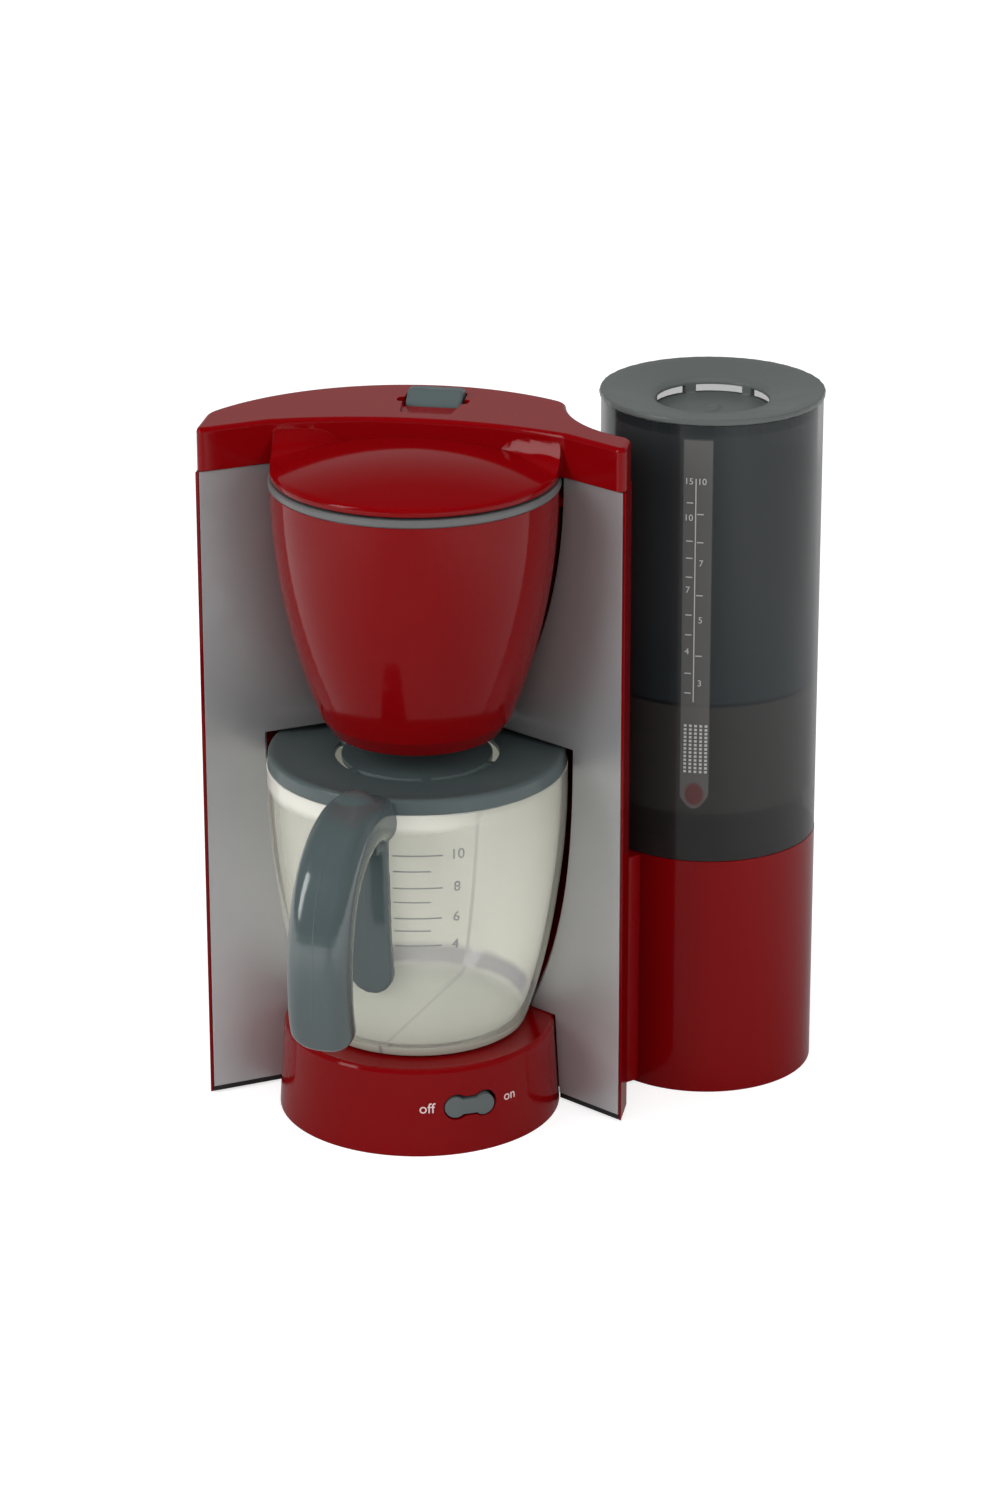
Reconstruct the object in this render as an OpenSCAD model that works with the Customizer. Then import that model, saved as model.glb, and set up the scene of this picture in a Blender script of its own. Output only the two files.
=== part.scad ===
// Toy coffee maker: V-fronted body with a round brew nose, a jug bay, a lift-off water tank,
// a pull-out filter holder, a glassy jug, a top button and a rocker switch.
// Units are millimetres. Z is up, the front faces -Y, and the floor is Z = 0.
// Pieces of the brewer are drawn about the upright brew axis, those of the tank about its own.

/* [Body] */
// Half of the width between the outer faces of the side walls
body_half_w = 62; // [58:0.5:66]
// Angle by which each silver front panel falls back from the outer edge
front_angle = 33.2; // [31:0.2:35]
// Distance of the outer front edges in front of the brew axis
front_reach = 8.9; // [7:0.1:11]
// Distance of the back of the body behind the brew axis
back_reach = 46.1; // [45.9:0.1:50]
// How much larger the radius of the rounded back is than the body's half width
back_bulge = 7.6; // [6:0.2:18]
// Height of the top edge of the body walls
body_top = 195; // [190:0.5:200]
// Wall thickness of the front housing
wall = 1.8; // [1.4:0.1:2]
// Wall thickness of the rear cover
cover_wall = 1.6; // [1.2:0.1:1.7]
// Thickness of the silver front panels
panel_t = 1.5; // [1:0.1:2]
// Width of the red rim left beside each panel
panel_rim = 0.8; // [0.5:0.1:1.5]
// Depth of the front housing's side walls behind the outer front edges
side_depth = 11.9; // [11:0.1:12.5]

/* [Cap] */
// Height of the cap, from its lower edge to its flat top
cap_h = 12.8; // [11:0.1:14]
// Overhang of the cap past the silver panels
cap_over = 0.8; // [0.4:0.1:1.4]
// Radius of the round nose over the filter holder
nose_r = 41.5; // [40:0.1:42]
// Height of the nose's upright rim
nose_rim_h = 2.4; // [1.5:0.1:3]
// Rise of the nose's dome above its rim
dome_rise = 5.5; // [4:0.1:6.5]
// Distance of the cap's front edge behind the brew axis at mid width
visor_reach = 10.5; // [8:0.1:12]
// Half width of the curved middle part of the cap's front edge
visor_half_w = 43; // [42:0.5:45]
// Wall thickness of the cap
cap_wall = 2; // [1.6:0.1:2.4]

/* [Button] */
// Width of the top button
button_w = 17; // [14:0.5:18]
// Depth of the top button, front to back
button_d = 20; // [17:0.2:20.4]
// Distance of the button's middle behind the brew axis
button_y = 28.4; // [27.5:0.1:29.5]
// How far the button stands above the cap
button_proud = 1.2; // [0.8:0.1:1.6]
// How far the button can be pressed
button_travel = 2.5; // [1.5:0.1:2.8]

/* [Filter holder] */
// Height of the holder's lower edge
holder_bottom = 118.4; // [118.4:0.2:122]
// Outer radius of the holder at its rim
holder_r = 41.5; // [40:0.1:41.8]
// How much slimmer the holder is at its foot than at its rim
holder_taper = 15.5; // [12:0.1:18]
// Wall thickness of the holder
holder_wall = 1.8; // [1.4:0.1:2.2]
// Thickness of the grey rim of the filter insert
ring_t = 2.4; // [2:0.1:3]
// Outer radius of the grey rim of the filter insert
ring_r = 41.9; // [41:0.1:42.2]
// Depth of the filter insert's basket below its rim
basket_depth = 58; // [40:1:62]

/* [Jug] */
// Radius of the jug's wall at its rim
jug_r = 43.1; // [42:0.1:43.4]
// How much slimmer the jug is at its foot than at its rim
jug_taper = 11.6; // [10:0.1:13]
// Height of the jug's glassy wall, from its foot up to the lid
jug_h = 80.4; // [76:0.2:81]
// Wall thickness of the jug
jug_wall = 1.8; // [1.4:0.1:2.4]
// Outer radius of the jug's lid
lid_r = 43.7; // [43.2:0.1:44]
// Height of the lid's rim
lid_h = 4.6; // [3.8:0.1:5]
// Middle radius of the slit ring in the lid
slit_r = 23; // [18:0.5:28]
// Width of the slits in the lid
slit_w = 1.8; // [1.2:0.1:2.4]
// Turn of the handle from straight ahead, towards the left
handle_turn = 8.5; // [0:0.5:12]
// Distance of the grip's middle line from the jug's axis
grip_reach = 83.7; // [78:0.1:86]
// Width of the grip, side to side
grip_w = 17.8; // [14:0.2:19]
// Depth of the grip, front to back
grip_d = 14; // [11:0.2:15]
// Height of the grip's free lower end
grip_bottom = 48; // [42:0.5:50]
// Width of the handle's leg along the jug
leg_w = 13; // [10:0.5:16]

/* [Drum base] */
// Height of the drum base that the jug stands on
drum_h = 26.7; // [25:0.1:28]
// Radius of the drum base at the floor
drum_r = 41.7; // [41:0.1:42.5]
// How much slimmer the drum is at its top
drum_draft = 1.6; // [0.8:0.1:2.4]
// Thickness of the black base plate
plate_t = 1.5; // [1.2:0.1:2]
// Height of the base plate above the floor
plate_lift = 0.8; // [0.5:0.1:1.2]

/* [Switch] */
// Angle of the rocker switch around the drum, from straight ahead
switch_angle = 32; // [24:1:36]
// Height of the rocker's middle
switch_z = 14.6; // [13:0.1:16]
// Length of the rocker
rocker_l = 15; // [12:0.2:16]
// Height of the rocker's two round ends
rocker_h = 6.4; // [5:0.1:7]
// Height of the rocker's waist
rocker_waist = 4.6; // [3.5:0.1:5]

/* [Tank] */
// Distance of the tank's axis outside the body's right side wall
tank_out = 17; // [16:0.2:20]
// Distance of the tank's axis behind the brew axis
tank_dy = 48.8; // [48:0.2:52]
// Outer radius of the tank
tank_r = 32.35; // [31:0.05:33]
// Wall thickness of the tank
tank_wall = 1.6; // [1.2:0.1:2]
// Height of the joint between the tank and its housing
tank_seat = 74.5; // [70:0.5:80]
// Height of the tank's own floor
tank_floor_z = 123.2; // [118:0.2:130]
// Height of the whole object, at the top of the tank's lid
total_h = 210; // [204:0.5:214]
// Radius of the tank lid
tank_lid_r = 32.8; // [32.5:0.1:33.5]
// Radius of the fill opening in the tank lid
fill_r = 17.7; // [14:0.1:20]
// Height of the spigot that the tank drops over
spigot_h = 36.5; // [25:0.5:40]
// Radius of the hollow in the body beside the tank
cut_r = 39.8; // [38.8:0.1:40.4]
// Distance of that hollow's middle in front of the tank's axis
cut_ahead = 9.4; // [8.8:0.1:10]

/* [Fasteners] */
// Radius of the screw shanks
screw_r = 1.3; // [1:0.05:1.5]
// Radius of the screw heads
screw_head_r = 2.5; // [2.2:0.1:2.8]

/* [Hidden] */
$fn = 96;

eps = 0.01;            // overlap that keeps cuts clean
fit = 0.3;             // seat clearance between separate pieces
run = 0.06;            // radial running clearance of pins in bores

red = [0.62, 0.02, 0.04];
silver = [0.62, 0.61, 0.63];
slate = [0.25, 0.30, 0.31];
smoke = [0.20, 0.23, 0.23, 0.7];
milky = [0.86, 0.87, 0.82, 0.6];
black = [0.05, 0.05, 0.05];
steel = [0.75, 0.75, 0.77];

// The brew axis stands so that the whole object's box is centred on the origin.
cap_half_w = body_half_w;
tank_dx = body_half_w + tank_out;
cut_x = tank_dx - 1.3;
cut_y = tank_dy - cut_ahead;
grip_round = 5.4;                              // rounding of the grip's edges
handle_front = (grip_reach + grip_d / 2 - grip_round) * cos(handle_turn)
             + (grip_w / 2 - grip_round) * sin(handle_turn) + grip_round;
brew_x = -(tank_dx + tank_lid_r - cap_half_w) / 2;
brew_y = (handle_front - tank_dy - tank_lid_r) / 2;

back_r = body_half_w + back_bulge;
back_cy = back_reach - back_r;                 // centre of the rounded back
cap_bottom = body_top + 0.2;
cap_top = cap_bottom + cap_h;
plate_top = plate_lift + plate_t;
split_y = side_depth - front_reach;            // joint of front housing and rear cover
jug_foot = drum_h + 0.2;
jug_rim = jug_foot + jug_h;
lid_bottom = jug_rim + 0.1;
lid_top = lid_bottom + lid_h;
lip_top = jug_rim + 1.6;                       // upper edge of the jug inside the lid's skirt
bay_top = lid_top + 0.9;
ring_top = body_top - 0.5;
ring_bottom = ring_top - ring_t;
holder_top = ring_bottom;
rail_bottom = holder_top - 7;                  // shelves that carry the filter holder
rail_t = 2.5;
rail_x = 36.5;
slot_y = 5.6;
shelf_y = 6.5;
function holder_outer(z) = holder_r - holder_taper * pow((holder_top - z) / (holder_top - holder_bottom), 2);
function jug_outer(z) = jug_r - jug_taper * pow(max(0, jug_rim - z) / jug_h, 2.5);
function bay_outer(z) = jug_outer(min(z, jug_rim)) + 1.8 + 0.7 * (z - jug_foot) / jug_h;
function steps(a, b, n) = [for (i = [0 : n]) a + (b - a) * i / n];
profile_n = 16;

// ---- placing -------------------------------------------------------------------------------
module at_brew() { translate([brew_x, brew_y, 0]) children(); }
module at_tank() { translate([brew_x + tank_dx, brew_y + tank_dy, 0]) children(); }
module mirrored() { children(); mirror([1, 0, 0]) children(); }
module on_handle() { at_brew() rotate([0, 0, -90 - handle_turn]) children(); }
module on_switch() { at_brew() rotate([0, 0, -90 + switch_angle]) children(); }

// ---- shared plan shapes --------------------------------------------------------------------
// Area behind the two falling front planes, moved back by inset.
module behind_front(inset) {
    far = 120;
    rise = tan(front_angle);
    back = inset / cos(front_angle);
    x0 = body_half_w + 20;
    y0 = -front_reach - 20 * rise + back;
    polygon([[-x0, y0], [0, y0 + x0 * rise], [x0, y0], [x0, far], [-x0, far]]);
}
// Plan of the body: falling front, flat sides, rounded back and the round cut for the tank.
module body_plan(front = 0, side = 0, back = 0, cut = 0) {
    difference() {
        intersection() {
            behind_front(front);
            translate([0, back_cy]) circle(back_r - back, $fn = 180);
            translate([-body_half_w + side, -60]) square([2 * (body_half_w - side), 160]);
        }
        translate([cut_x, cut_y]) circle(cut_r + cut, $fn = 180);
    }
}
module rounded(w, d, r) {
    square([w - 2 * r, d], center = true);
    square([w, d - 2 * r], center = true);
    for (x = [-1, 1], y = [-1, 1]) translate([x * (w / 2 - r), y * (d / 2 - r)]) circle(r);
}
module slab(z0, z1) { translate([0, 0, z0]) linear_extrude(z1 - z0) children(); }
module pin(r, z0, z1) { translate([0, 0, z0]) cylinder(r = r, h = z1 - z0); }
// Screw along +Z with its head at the bottom.
module screw(len, head = screw_head_r) {
    difference() {
        union() {
            cylinder(r = head, h = 1.6);
            cylinder(r = screw_r, h = len);
        }
        translate([0, 0, -eps]) linear_extrude(0.9) {
            square([3, 0.7], center = true);
            square([0.7, 3], center = true);
        }
    }
}

// ---- hollows of the body -------------------------------------------------------------------
module drum_zone(gap) {
    translate([0, 0, -1]) cylinder(r1 = drum_r + gap, r2 = drum_r - drum_draft + gap, h = drum_h + gap + 1);
}
module bay_zone(gap) {
    zs = steps(drum_h - 1, bay_top, profile_n);
    rotate_extrude($fn = 120)
        polygon(concat([[0, drum_h - 1]], [for (z = zs) [bay_outer(max(z, jug_foot)) + gap, z]],
                       [[bay_outer(bay_top) + gap, bay_top + gap], [0, bay_top + gap]]));
}
module holder_zone(gap) {
    top = body_top + 1;
    zs = steps(holder_bottom, holder_top, profile_n);
    rotate_extrude($fn = 120)
        polygon(concat([[0, holder_bottom - gap]],
                       [for (z = zs) [holder_outer(z) + 1 + gap, z]],
                       [[ring_r + 0.6 + gap, top], [0, top]]));
}
module front_cuts() {
    drum_zone(0.3);
    bay_zone(0);
    holder_zone(0);
}

// ---- body ----------------------------------------------------------------------------------
cover_screw_x = [-body_half_w + 8.5, body_half_w - 12];
cover_screw_spots = [[cover_screw_x[0], 24], [cover_screw_x[0], 165], [cover_screw_x[1], 124], [cover_screw_x[1], 165]];
cover_screw_len = 6;
plate_screw_spots = [[-body_half_w + 12, 8.3], [14, 30], [-16, -20], [4, -31]];
cap_screw_spots = [for (side = [-1, 1]) [side * (body_half_w - 4.8), split_y - 2.2]];
lug_z = body_top - 2.2;

function cover_screw_seat(x) =
    x < 0 ? back_cy + sqrt(pow(back_r, 2) - pow(x, 2)) - 5
          : cut_y - sqrt(pow(cut_r, 2) - pow(cut_x - x - screw_head_r - 0.3, 2)) - 3.2;

// Front shell: the falling front wall, side walls, jug bay and the cavity of the filter holder.
module front_housing() {
    color(red) at_brew() {
        difference() {
            union() {
                slab(plate_top, body_top) side_walls(wall);
                slab(plate_lift, plate_top + eps) side_walls(panel_rim - 0.1);
                slab(plate_top, body_top) intersection() {
                    difference() {
                        behind_front(panel_t);
                        behind_front(panel_t + wall);
                    }
                    body_plan(side = 0.5, back = cover_wall + 0.2, cut = cover_wall + 0.2);
                    union() {
                        square([2 * (body_half_w - cover_wall - 0.2), 200], center = true);
                        translate([-100, -100]) square([200, 100 + split_y]);
                    }
                }
                housing_shells();
                housing_posts();
            }
            front_cuts();
            for (s = plate_screw_spots)
                translate([s[0], s[1], 0]) pin(screw_r, plate_top, 15);
            for (s = cap_screw_spots) translate([s[0], s[1], 0]) pin(screw_r + 0.15, lug_z - 1, body_top + 1);
            for (s = cover_screw_spots)
                translate([s[0], 0, s[1]]) rotate([-90, 0, 0])
                    pin(screw_r, cover_screw_seat(s[0]) + 2.8 - cover_screw_len, 40);
        }
        holder_shelves();
    }
}
// Side walls in front of the joint with the rear cover.
module side_walls(thick) {
    difference() {
        intersection() {
            body_plan();
            translate([-100, -100]) square([200, 100 + split_y]);
        }
        square([2 * (body_half_w - thick), 200], center = true);
        intersection() {
            square([2 * (body_half_w - panel_rim), 200], center = true);
            difference() {
                behind_front(-5);
                behind_front(panel_t);
            }
        }
    }
}
// Walls around the two hollows, kept inside the rear cover.
module housing_shells() {
    intersection() {
        union() {
            bay_zone(wall);
            holder_zone(wall);
            drum_top_seat();
        }
        slab(drum_h + 0.3, body_top)
            intersection() {
                behind_front(panel_t + 0.2);
                body_plan(back = cover_wall + 0.1, side = 0.5, cut = cover_wall + 0.1);
            }
    }
}
module drum_top_seat() {
    translate([0, 0, drum_h + 0.3]) cylinder(r = drum_r + 1, h = wall);
}
module housing_posts() {
    intersection() {
        for (s = cover_screw_spots)
            translate([s[0], 0, s[1]]) rotate([-90, 0, 0]) pin(3.2, -4, cover_screw_seat(s[0]) - 0.1);
        slab(0, body_top) body_plan(front = panel_t + 0.2, back = cover_wall + 0.2, cut = cover_wall + 0.2);
    }
    for (s = plate_screw_spots)
        if (norm(s) > drum_r) plate_post(s);
    intersection() {
        for (s = cap_screw_spots)
            slab(lug_z, lug_z + 2) translate([s[0], s[1]]) square([13, 16], center = true);
        slab(0, body_top)
            body_plan(panel_t + 0.2, cover_wall + 0.3, cover_wall + 0.3, cover_wall + 0.3);
    }
}
// Post for a base plate screw, joined to the falling wall by a rib.
module plate_post(s) {
    side = s[0] < 0 ? 1 : -1;
    intersection() {
        translate([s[0], s[1], 0]) {
            pin(3.2, plate_top + 3, 20);
            rotate([0, 0, -90 + side * front_angle]) translate([2, -1.2, plate_top + 4]) cube([12, 2.4, 12.5]);
        }
        slab(0, body_top) behind_front(panel_t + 0.2);
    }
}
// Two level shelves in the holder's cavity, which its side slots slide along.
module holder_shelves() {
    intersection() {
        slab(rail_bottom, rail_bottom + rail_t) mirrored()
            translate([rail_x, shelf_y]) square([12, 14]);
        holder_zone(wall / 2);
        slab(0, body_top) behind_front(panel_t + 0.2);
    }
}
// Rear shell: rounded back and the hollow that faces the tank.
module rear_cover() {
    color(red) at_brew() difference() {
        union() {
            slab(0, body_top) intersection() {
                difference() {
                    body_plan();
                    body_plan(side = cover_wall, back = cover_wall, cut = cover_wall);
                }
                translate([-100, split_y]) square([200, 100]);
            }
            intersection() {
                for (s = cover_screw_spots)
                    translate([s[0], 0, s[1]]) rotate([-90, 0, 0])
                        pin(3.6, cover_screw_seat(s[0]), cover_screw_seat(s[0]) + 8);
                slab(0, body_top) body_plan(front = panel_t + wall + 0.2, side = 0.2);
            }
        }
        for (s = cover_screw_spots)
            translate([s[0], 0, s[1]]) rotate([-90, 0, 0]) {
                pin(screw_r + 0.15, cover_screw_seat(s[0]) - 1, 60);
                pin(screw_head_r + 0.3, cover_screw_seat(s[0]) + 1.4, 60);
            }
        translate([cut_x, cut_y, 0]) for (z = housing_screw_z)
            on_web(z) pin(screw_r + 0.15, cut_r - 5, cut_r + 5);
    }
}
module cover_screws() {
    color(steel) at_brew() for (s = cover_screw_spots)
        translate([s[0], cover_screw_seat(s[0]) + 3, s[1]]) rotate([90, 0, 0]) screw(cover_screw_len);
}
// Satin silver plates that lie in the falling front, cut out around drum, bay and holder.
module front_panel(sgn) {
    gap = 0.15;
    difference() {
        slab(plate_top, body_top - 0.1) intersection() {
            difference() {
                behind_front(0);
                behind_front(panel_t);
            }
            translate([sgn > 0 ? 0 : -body_half_w + panel_rim + gap, -60])
                square([body_half_w - panel_rim - gap, 160]);
        }
        front_cuts();
        slab(drum_h, jug_foot + jug_h / 2) translate([-5, 20]) square([10, 60]);
    }
}
module left_panel() { color(silver) at_brew() front_panel(-1); }
module right_panel() { color(silver) at_brew() front_panel(1); }

// ---- cap -----------------------------------------------------------------------------------
visor_sag = visor_reach - (-front_reach + (body_half_w - visor_half_w) * tan(front_angle));
visor_r = (pow(visor_half_w, 2) + pow(visor_sag, 2)) / (2 * visor_sag);
visor_edge_y = visor_reach - visor_sag;        // where the arc meets the falling front
dome_r = (pow(nose_r, 2) + pow(dome_rise, 2)) / (2 * dome_rise);
rim_top = cap_bottom + nose_rim_h;

// Plan of the cap: it overhangs the front and sides, and its middle front edge is a shallow arc.
module cap_plan(inset = 0) {
    difference() {
        intersection() {
            translate([0, back_cy]) circle(back_r - inset, $fn = 180);
            translate([-cap_half_w + inset, -60]) square([2 * (cap_half_w - inset), 160]);
            union() {
                behind_front(inset - cap_over);
                difference() {
                    translate([-visor_half_w, -30]) square([2 * visor_half_w, 90]);
                    translate([0, visor_reach + inset - visor_r]) circle(visor_r, $fn = 180);
                }
            }
        }
        translate([cut_x, cut_y]) circle(cut_r + inset, $fn = 180);
    }
}
module nose(inset) {
    r = nose_r - inset;
    z0 = cap_bottom;
    rotate_extrude($fn = 120) intersection() {
        translate([0, rim_top + dome_rise - dome_r]) circle(dome_r - inset, $fn = 360);
        polygon(inset > 0 ? [[0, z0 - 1], [r, z0 - 1], [r, 240], [0, 240]]
                          : [[0, z0], [r - 0.5, z0], [r, z0 + 0.5], [r, 240], [0, 240]]);
    }
}
// Collar that rises from the nose's rim to the visor on both sides of the dome.
module collar() {
    bowl_r = nose_r - 16;
    front = -bowl_r / 1.72;
    difference() {
        intersection() {
            pin(nose_r, cap_bottom + 1, cap_top);
            rotate([90, 0, 90]) linear_extrude(4 * nose_r, center = true)
                polygon([[front, cap_bottom], [front, rim_top + 0.4], [visor_edge_y, cap_top],
                         [nose_r, cap_top], [nose_r, cap_bottom]]);
        }
        slab(cap_bottom, cap_top + 1) {
            for (x = [-13, 13]) translate([x, front]) circle(bowl_r);
            translate([-13, front - bowl_r]) square([26, 2 * bowl_r]);
        }
    }
}
module button_hole() {
    translate([0, button_y]) rounded(button_w + 0.6, button_d + 0.6, 3);
}
// Top cap in one moulding: the visor over the back half and the domed round nose before it.
module top_cap() {
    color(red) at_brew() {
        difference() {
            union() {
                slab(cap_bottom, cap_top) cap_plan();
                nose(0);
                collar();
            }
            slab(cap_bottom - 1, cap_top - cap_wall) cap_plan(cap_wall);
            nose(cap_wall);
            slab(cap_bottom + 4, cap_top + 1) button_hole();
            button_pocket();
            for (s = cap_screw_spots) translate([s[0], s[1], 0]) pin(screw_r, cap_bottom - 1, cap_top - 3);
        }
        cap_inside();
    }
}
// Shallow finger hollow that leads to the button.
module button_pocket() {
    translate([0, button_y - 0.9, cap_top - 1]) linear_extrude(3) rounded(button_w + 4.4, button_d + 4.8, 3.4);
}
// Guide tube and floor of the button, and the screw posts, inside the cap.
module cap_inside() {
    difference() {
        slab(button_floor, cap_top - cap_wall + eps) translate([0, button_y])
            rounded(button_w + 3.4, button_d + 3.4, 4.4);
        slab(button_floor + 1.6, cap_top + 1) button_hole();
        translate([0, button_y, 0]) pin(2.4, button_floor - 1, button_floor + 3);
    }
    for (s = cap_screw_spots) difference() {
        translate([s[0], s[1], 0]) pin(2.6, cap_bottom, cap_top - cap_wall + eps);
        translate([s[0], s[1], 0]) pin(screw_r, cap_bottom - 1, cap_top - 3);
    }
}
module cap_screws() {
    color(steel) at_brew() for (s = cap_screw_spots) translate([s[0], s[1], lug_z - 1.6]) screw(11, 2);
}

// ---- button --------------------------------------------------------------------------------
button_top = cap_top + button_proud;
stem_r = 2.4 - run;
button_floor = cap_bottom + 3.4;
spring_low = button_floor + 1.6;
spring_high = button_top - 3.2;
// Press button: a rounded hollow cap on a stem that runs through the floor of its guide tube.
module top_button() {
    color(slate) at_brew() translate([0, button_y, 0]) difference() {
        union() {
            slab(button_top - 5, button_top - 0.6) rounded(button_w, button_d, 2.8);
            slab(button_top - 0.6 - eps, button_top) rounded(button_w - 1, button_d - 1, 2.4);
            pin(stem_r, button_floor - 0.15, button_top - 2);
        }
        difference() {
            slab(button_top - 6, spring_high) rounded(button_w - 3, button_d - 3, 1.6);
            pin(stem_r, button_floor - 2, button_top);
        }
        pin(1, button_floor - 2, button_floor + 3);
    }
}
// Clip pressed on the end of the stem, which keeps the button from coming out.
module button_clip() {
    color(black) at_brew() translate([0, button_y, 0]) {
        pin(0.98, button_floor - 0.65, button_floor + 2.6);
        pin(3.6, button_floor - 1.05, button_floor - 0.15 - eps);
    }
}
// Coil spring around the stem.
module coil(r, wire, z0, z1, turns) {
    sides = 8;
    per_turn = 18;
    n = turns * per_turn;
    rise = z1 - z0 - 2 * wire;
    pts = [for (i = [0 : n], k = [0 : sides - 1])
        let (a = 360 * i / per_turn, b = 360 * k / sides, q = r + wire * cos(b))
        [q * cos(a), q * sin(a), z0 + wire + rise * i / n + wire * sin(b)]];
    walls = [for (i = [0 : n - 1], k = [0 : sides - 1])
        let (m = (k + 1) % sides)
        [i * sides + k, i * sides + m, (i + 1) * sides + m, (i + 1) * sides + k]];
    ends = [[for (k = [0 : sides - 1]) sides - 1 - k], [for (k = [0 : sides - 1]) n * sides + k]];
    polyhedron(points = pts, faces = concat(walls, ends), convexity = 6);
}
module button_spring() {
    color(steel) at_brew() translate([0, button_y, 0])
        coil(4, 0.35, spring_low + 0.05, spring_high - 0.05, 4);
}

// ---- drum base and plate -------------------------------------------------------------------
drum_top_r = drum_r - drum_draft;
module drum_shape(inset, z1) {
    rotate_extrude($fn = 120) polygon([[0, -1], [drum_r - inset, -1], [drum_r - inset, 0],
        [drum_top_r - inset, z1 - 1.2], [drum_top_r - inset - 0.4, z1 - 0.4], [drum_top_r - inset - 1.2, z1], [0, z1]]);
}
drum_wall = 2;
// Round foot of the brewer, with the level top that the jug stands on.
module drum_base() {
    color(red) at_brew() difference() {
        union() {
            difference() {
                drum_shape(0, drum_h);
                drum_shape(drum_wall, drum_h - drum_wall);
                slab(-2, plate_top + 0.1) behind_front(panel_t + wall + 1.5);
            }
            for (s = plate_screw_spots)
                if (norm(s) < drum_r) translate([s[0], s[1], 0]) pin(3.2, plate_top + 3, drum_h - 1);
            intersection() {
                on_switch_local() axle_lugs();
                drum_shape(0.5, drum_h);
            }
        }
        slab(-2, 0) circle(drum_r + 1);
        for (s = plate_screw_spots)
            if (norm(s) < drum_r) translate([s[0], s[1], 0]) pin(screw_r, plate_top, 15);
        on_switch_local() {
            translate([rocker_axis - 3, 0, switch_z]) rotate([90, 0, 90]) linear_extrude(20) rocker_plan(0.7);
            translate([rocker_axis, 0, 0]) pin(axle_r + 0.01, 0, switch_z + rocker_h / 2 + 2.6);
        }
    }
}
// Two lugs inside the drum's wall that hold the ends of the rocker's axle.
module axle_lugs() {
    for (z = [switch_z - rocker_h / 2 - 2.6, switch_z + rocker_h / 2 + 0.8])
        translate([rocker_axis - 2.4, -4, z]) cube([8, 8, 1.8]);
}
module on_switch_local() { rotate([0, 0, -90 + switch_angle]) children(); }
// Black closing plate under the body and the drum, with cups for its screws.
module base_plate() {
    color(black) at_brew() difference() {
        union() {
            slab(plate_lift, plate_top) plate_plan();
            for (s = plate_screw_spots) translate([s[0], s[1], 0]) pin(4.2, plate_lift, plate_top + 2.9);
        }
        for (s = plate_screw_spots) translate([s[0], s[1], 0]) {
            pin(screw_head_r + 0.3, plate_lift - 1, plate_top + 1.4);
            pin(screw_r + 0.15, plate_lift - 1, plate_top + 6);
        }
    }
}
module plate_plan() {
    difference() {
        union() {
            body_plan(side = panel_rim, back = cover_wall + 0.2, cut = cover_wall + 0.2);
            circle(drum_r - drum_wall - 0.4);
        }
        difference() {
            circle(drum_r + 0.3);
            circle(drum_r - drum_wall - 0.4);
            behind_front(panel_t + wall + 2);
        }
        mirrored() translate([body_half_w - cover_wall - 0.2, split_y - 0.2]) square([10, 60]);
    }
}
module plate_screws() {
    color(steel) at_brew() for (s = plate_screw_spots)
        translate([s[0], s[1], plate_top + 1.4 - 1.6]) screw(11);
}

// ---- rocker switch -------------------------------------------------------------------------
rocker_axis = drum_r - 5.4;                    // distance of the rocker's axle from the drum's axis
rocker_face = drum_r - drum_draft * switch_z / drum_h + 0.5;
rocker_tilt = 5;
axle_r = 0.8;
module rocker_plan(gap) {
    reach = rocker_l / 2 - rocker_h / 2;
    for (x = [-1, 1]) translate([x * reach, 0]) circle(rocker_h / 2 + gap, $fn = 48);
    square([2 * reach, rocker_waist + 2 * gap], center = true);
}
// Bone-shaped rocker, tipped to its rest position about an upright axle.
module switch_rocker() {
    color(slate) on_switch() translate([rocker_axis, 0, 0]) rotate([0, 0, -rocker_tilt])
        difference() {
            intersection() {
                translate([-2, 0, switch_z]) rotate([90, 0, 90]) linear_extrude(20) rocker_plan(0);
                translate([-rocker_axis, 0, 0]) cylinder(r = rocker_face, h = 40, $fn = 180);
            }
            pin(axle_r + run, 0, 30);
        }
}
module switch_axle() {
    color(steel) on_switch() translate([rocker_axis, 0, 0])
        pin(axle_r, switch_z - rocker_h / 2 - 2.5, switch_z + rocker_h / 2 + 2.5);
}

// ---- filter holder -------------------------------------------------------------------------
module holder_solid(inset) {
    zs = steps(holder_bottom, holder_top, profile_n);
    low = holder_bottom + (inset > 0 ? holder_wall : 0);
    rotate_extrude($fn = 120)
        polygon(concat([[0, low], [holder_outer(holder_bottom) - inset - 1.4, low]],
                       [for (z = zs) if (z > low + 0.5) [holder_outer(z) - inset, z]],
                       [[holder_outer(holder_top) - inset, holder_top + (inset > 0 ? 1 : 0)],
                        [0, holder_top + (inset > 0 ? 1 : 0)]]));
}
// Red goblet with two side slots near its rim.
module filter_holder() {
    band_r = rail_x - 2;
    color(red) at_brew() difference() {
        union() {
            difference() {
                holder_solid(0);
                holder_solid(holder_wall);
            }
            intersection() {
                holder_solid(0);
                difference() {
                    pin(60, rail_bottom - 2, rail_bottom + rail_t + 2);
                    pin(band_r, rail_bottom - 3, rail_bottom + rail_t + 3);
                }
            }
        }
        slab(rail_bottom - 0.35, rail_bottom + rail_t + 0.35) mirrored()
            translate([rail_x - 0.4, slot_y]) square([12, 30]);
        pin(4.2, holder_bottom - 1, holder_bottom + holder_wall + 1);
    }
}
basket_top_r = rail_x - 2.6;
basket_foot_r = 17;
basket_bottom = ring_bottom - basket_depth;
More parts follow.
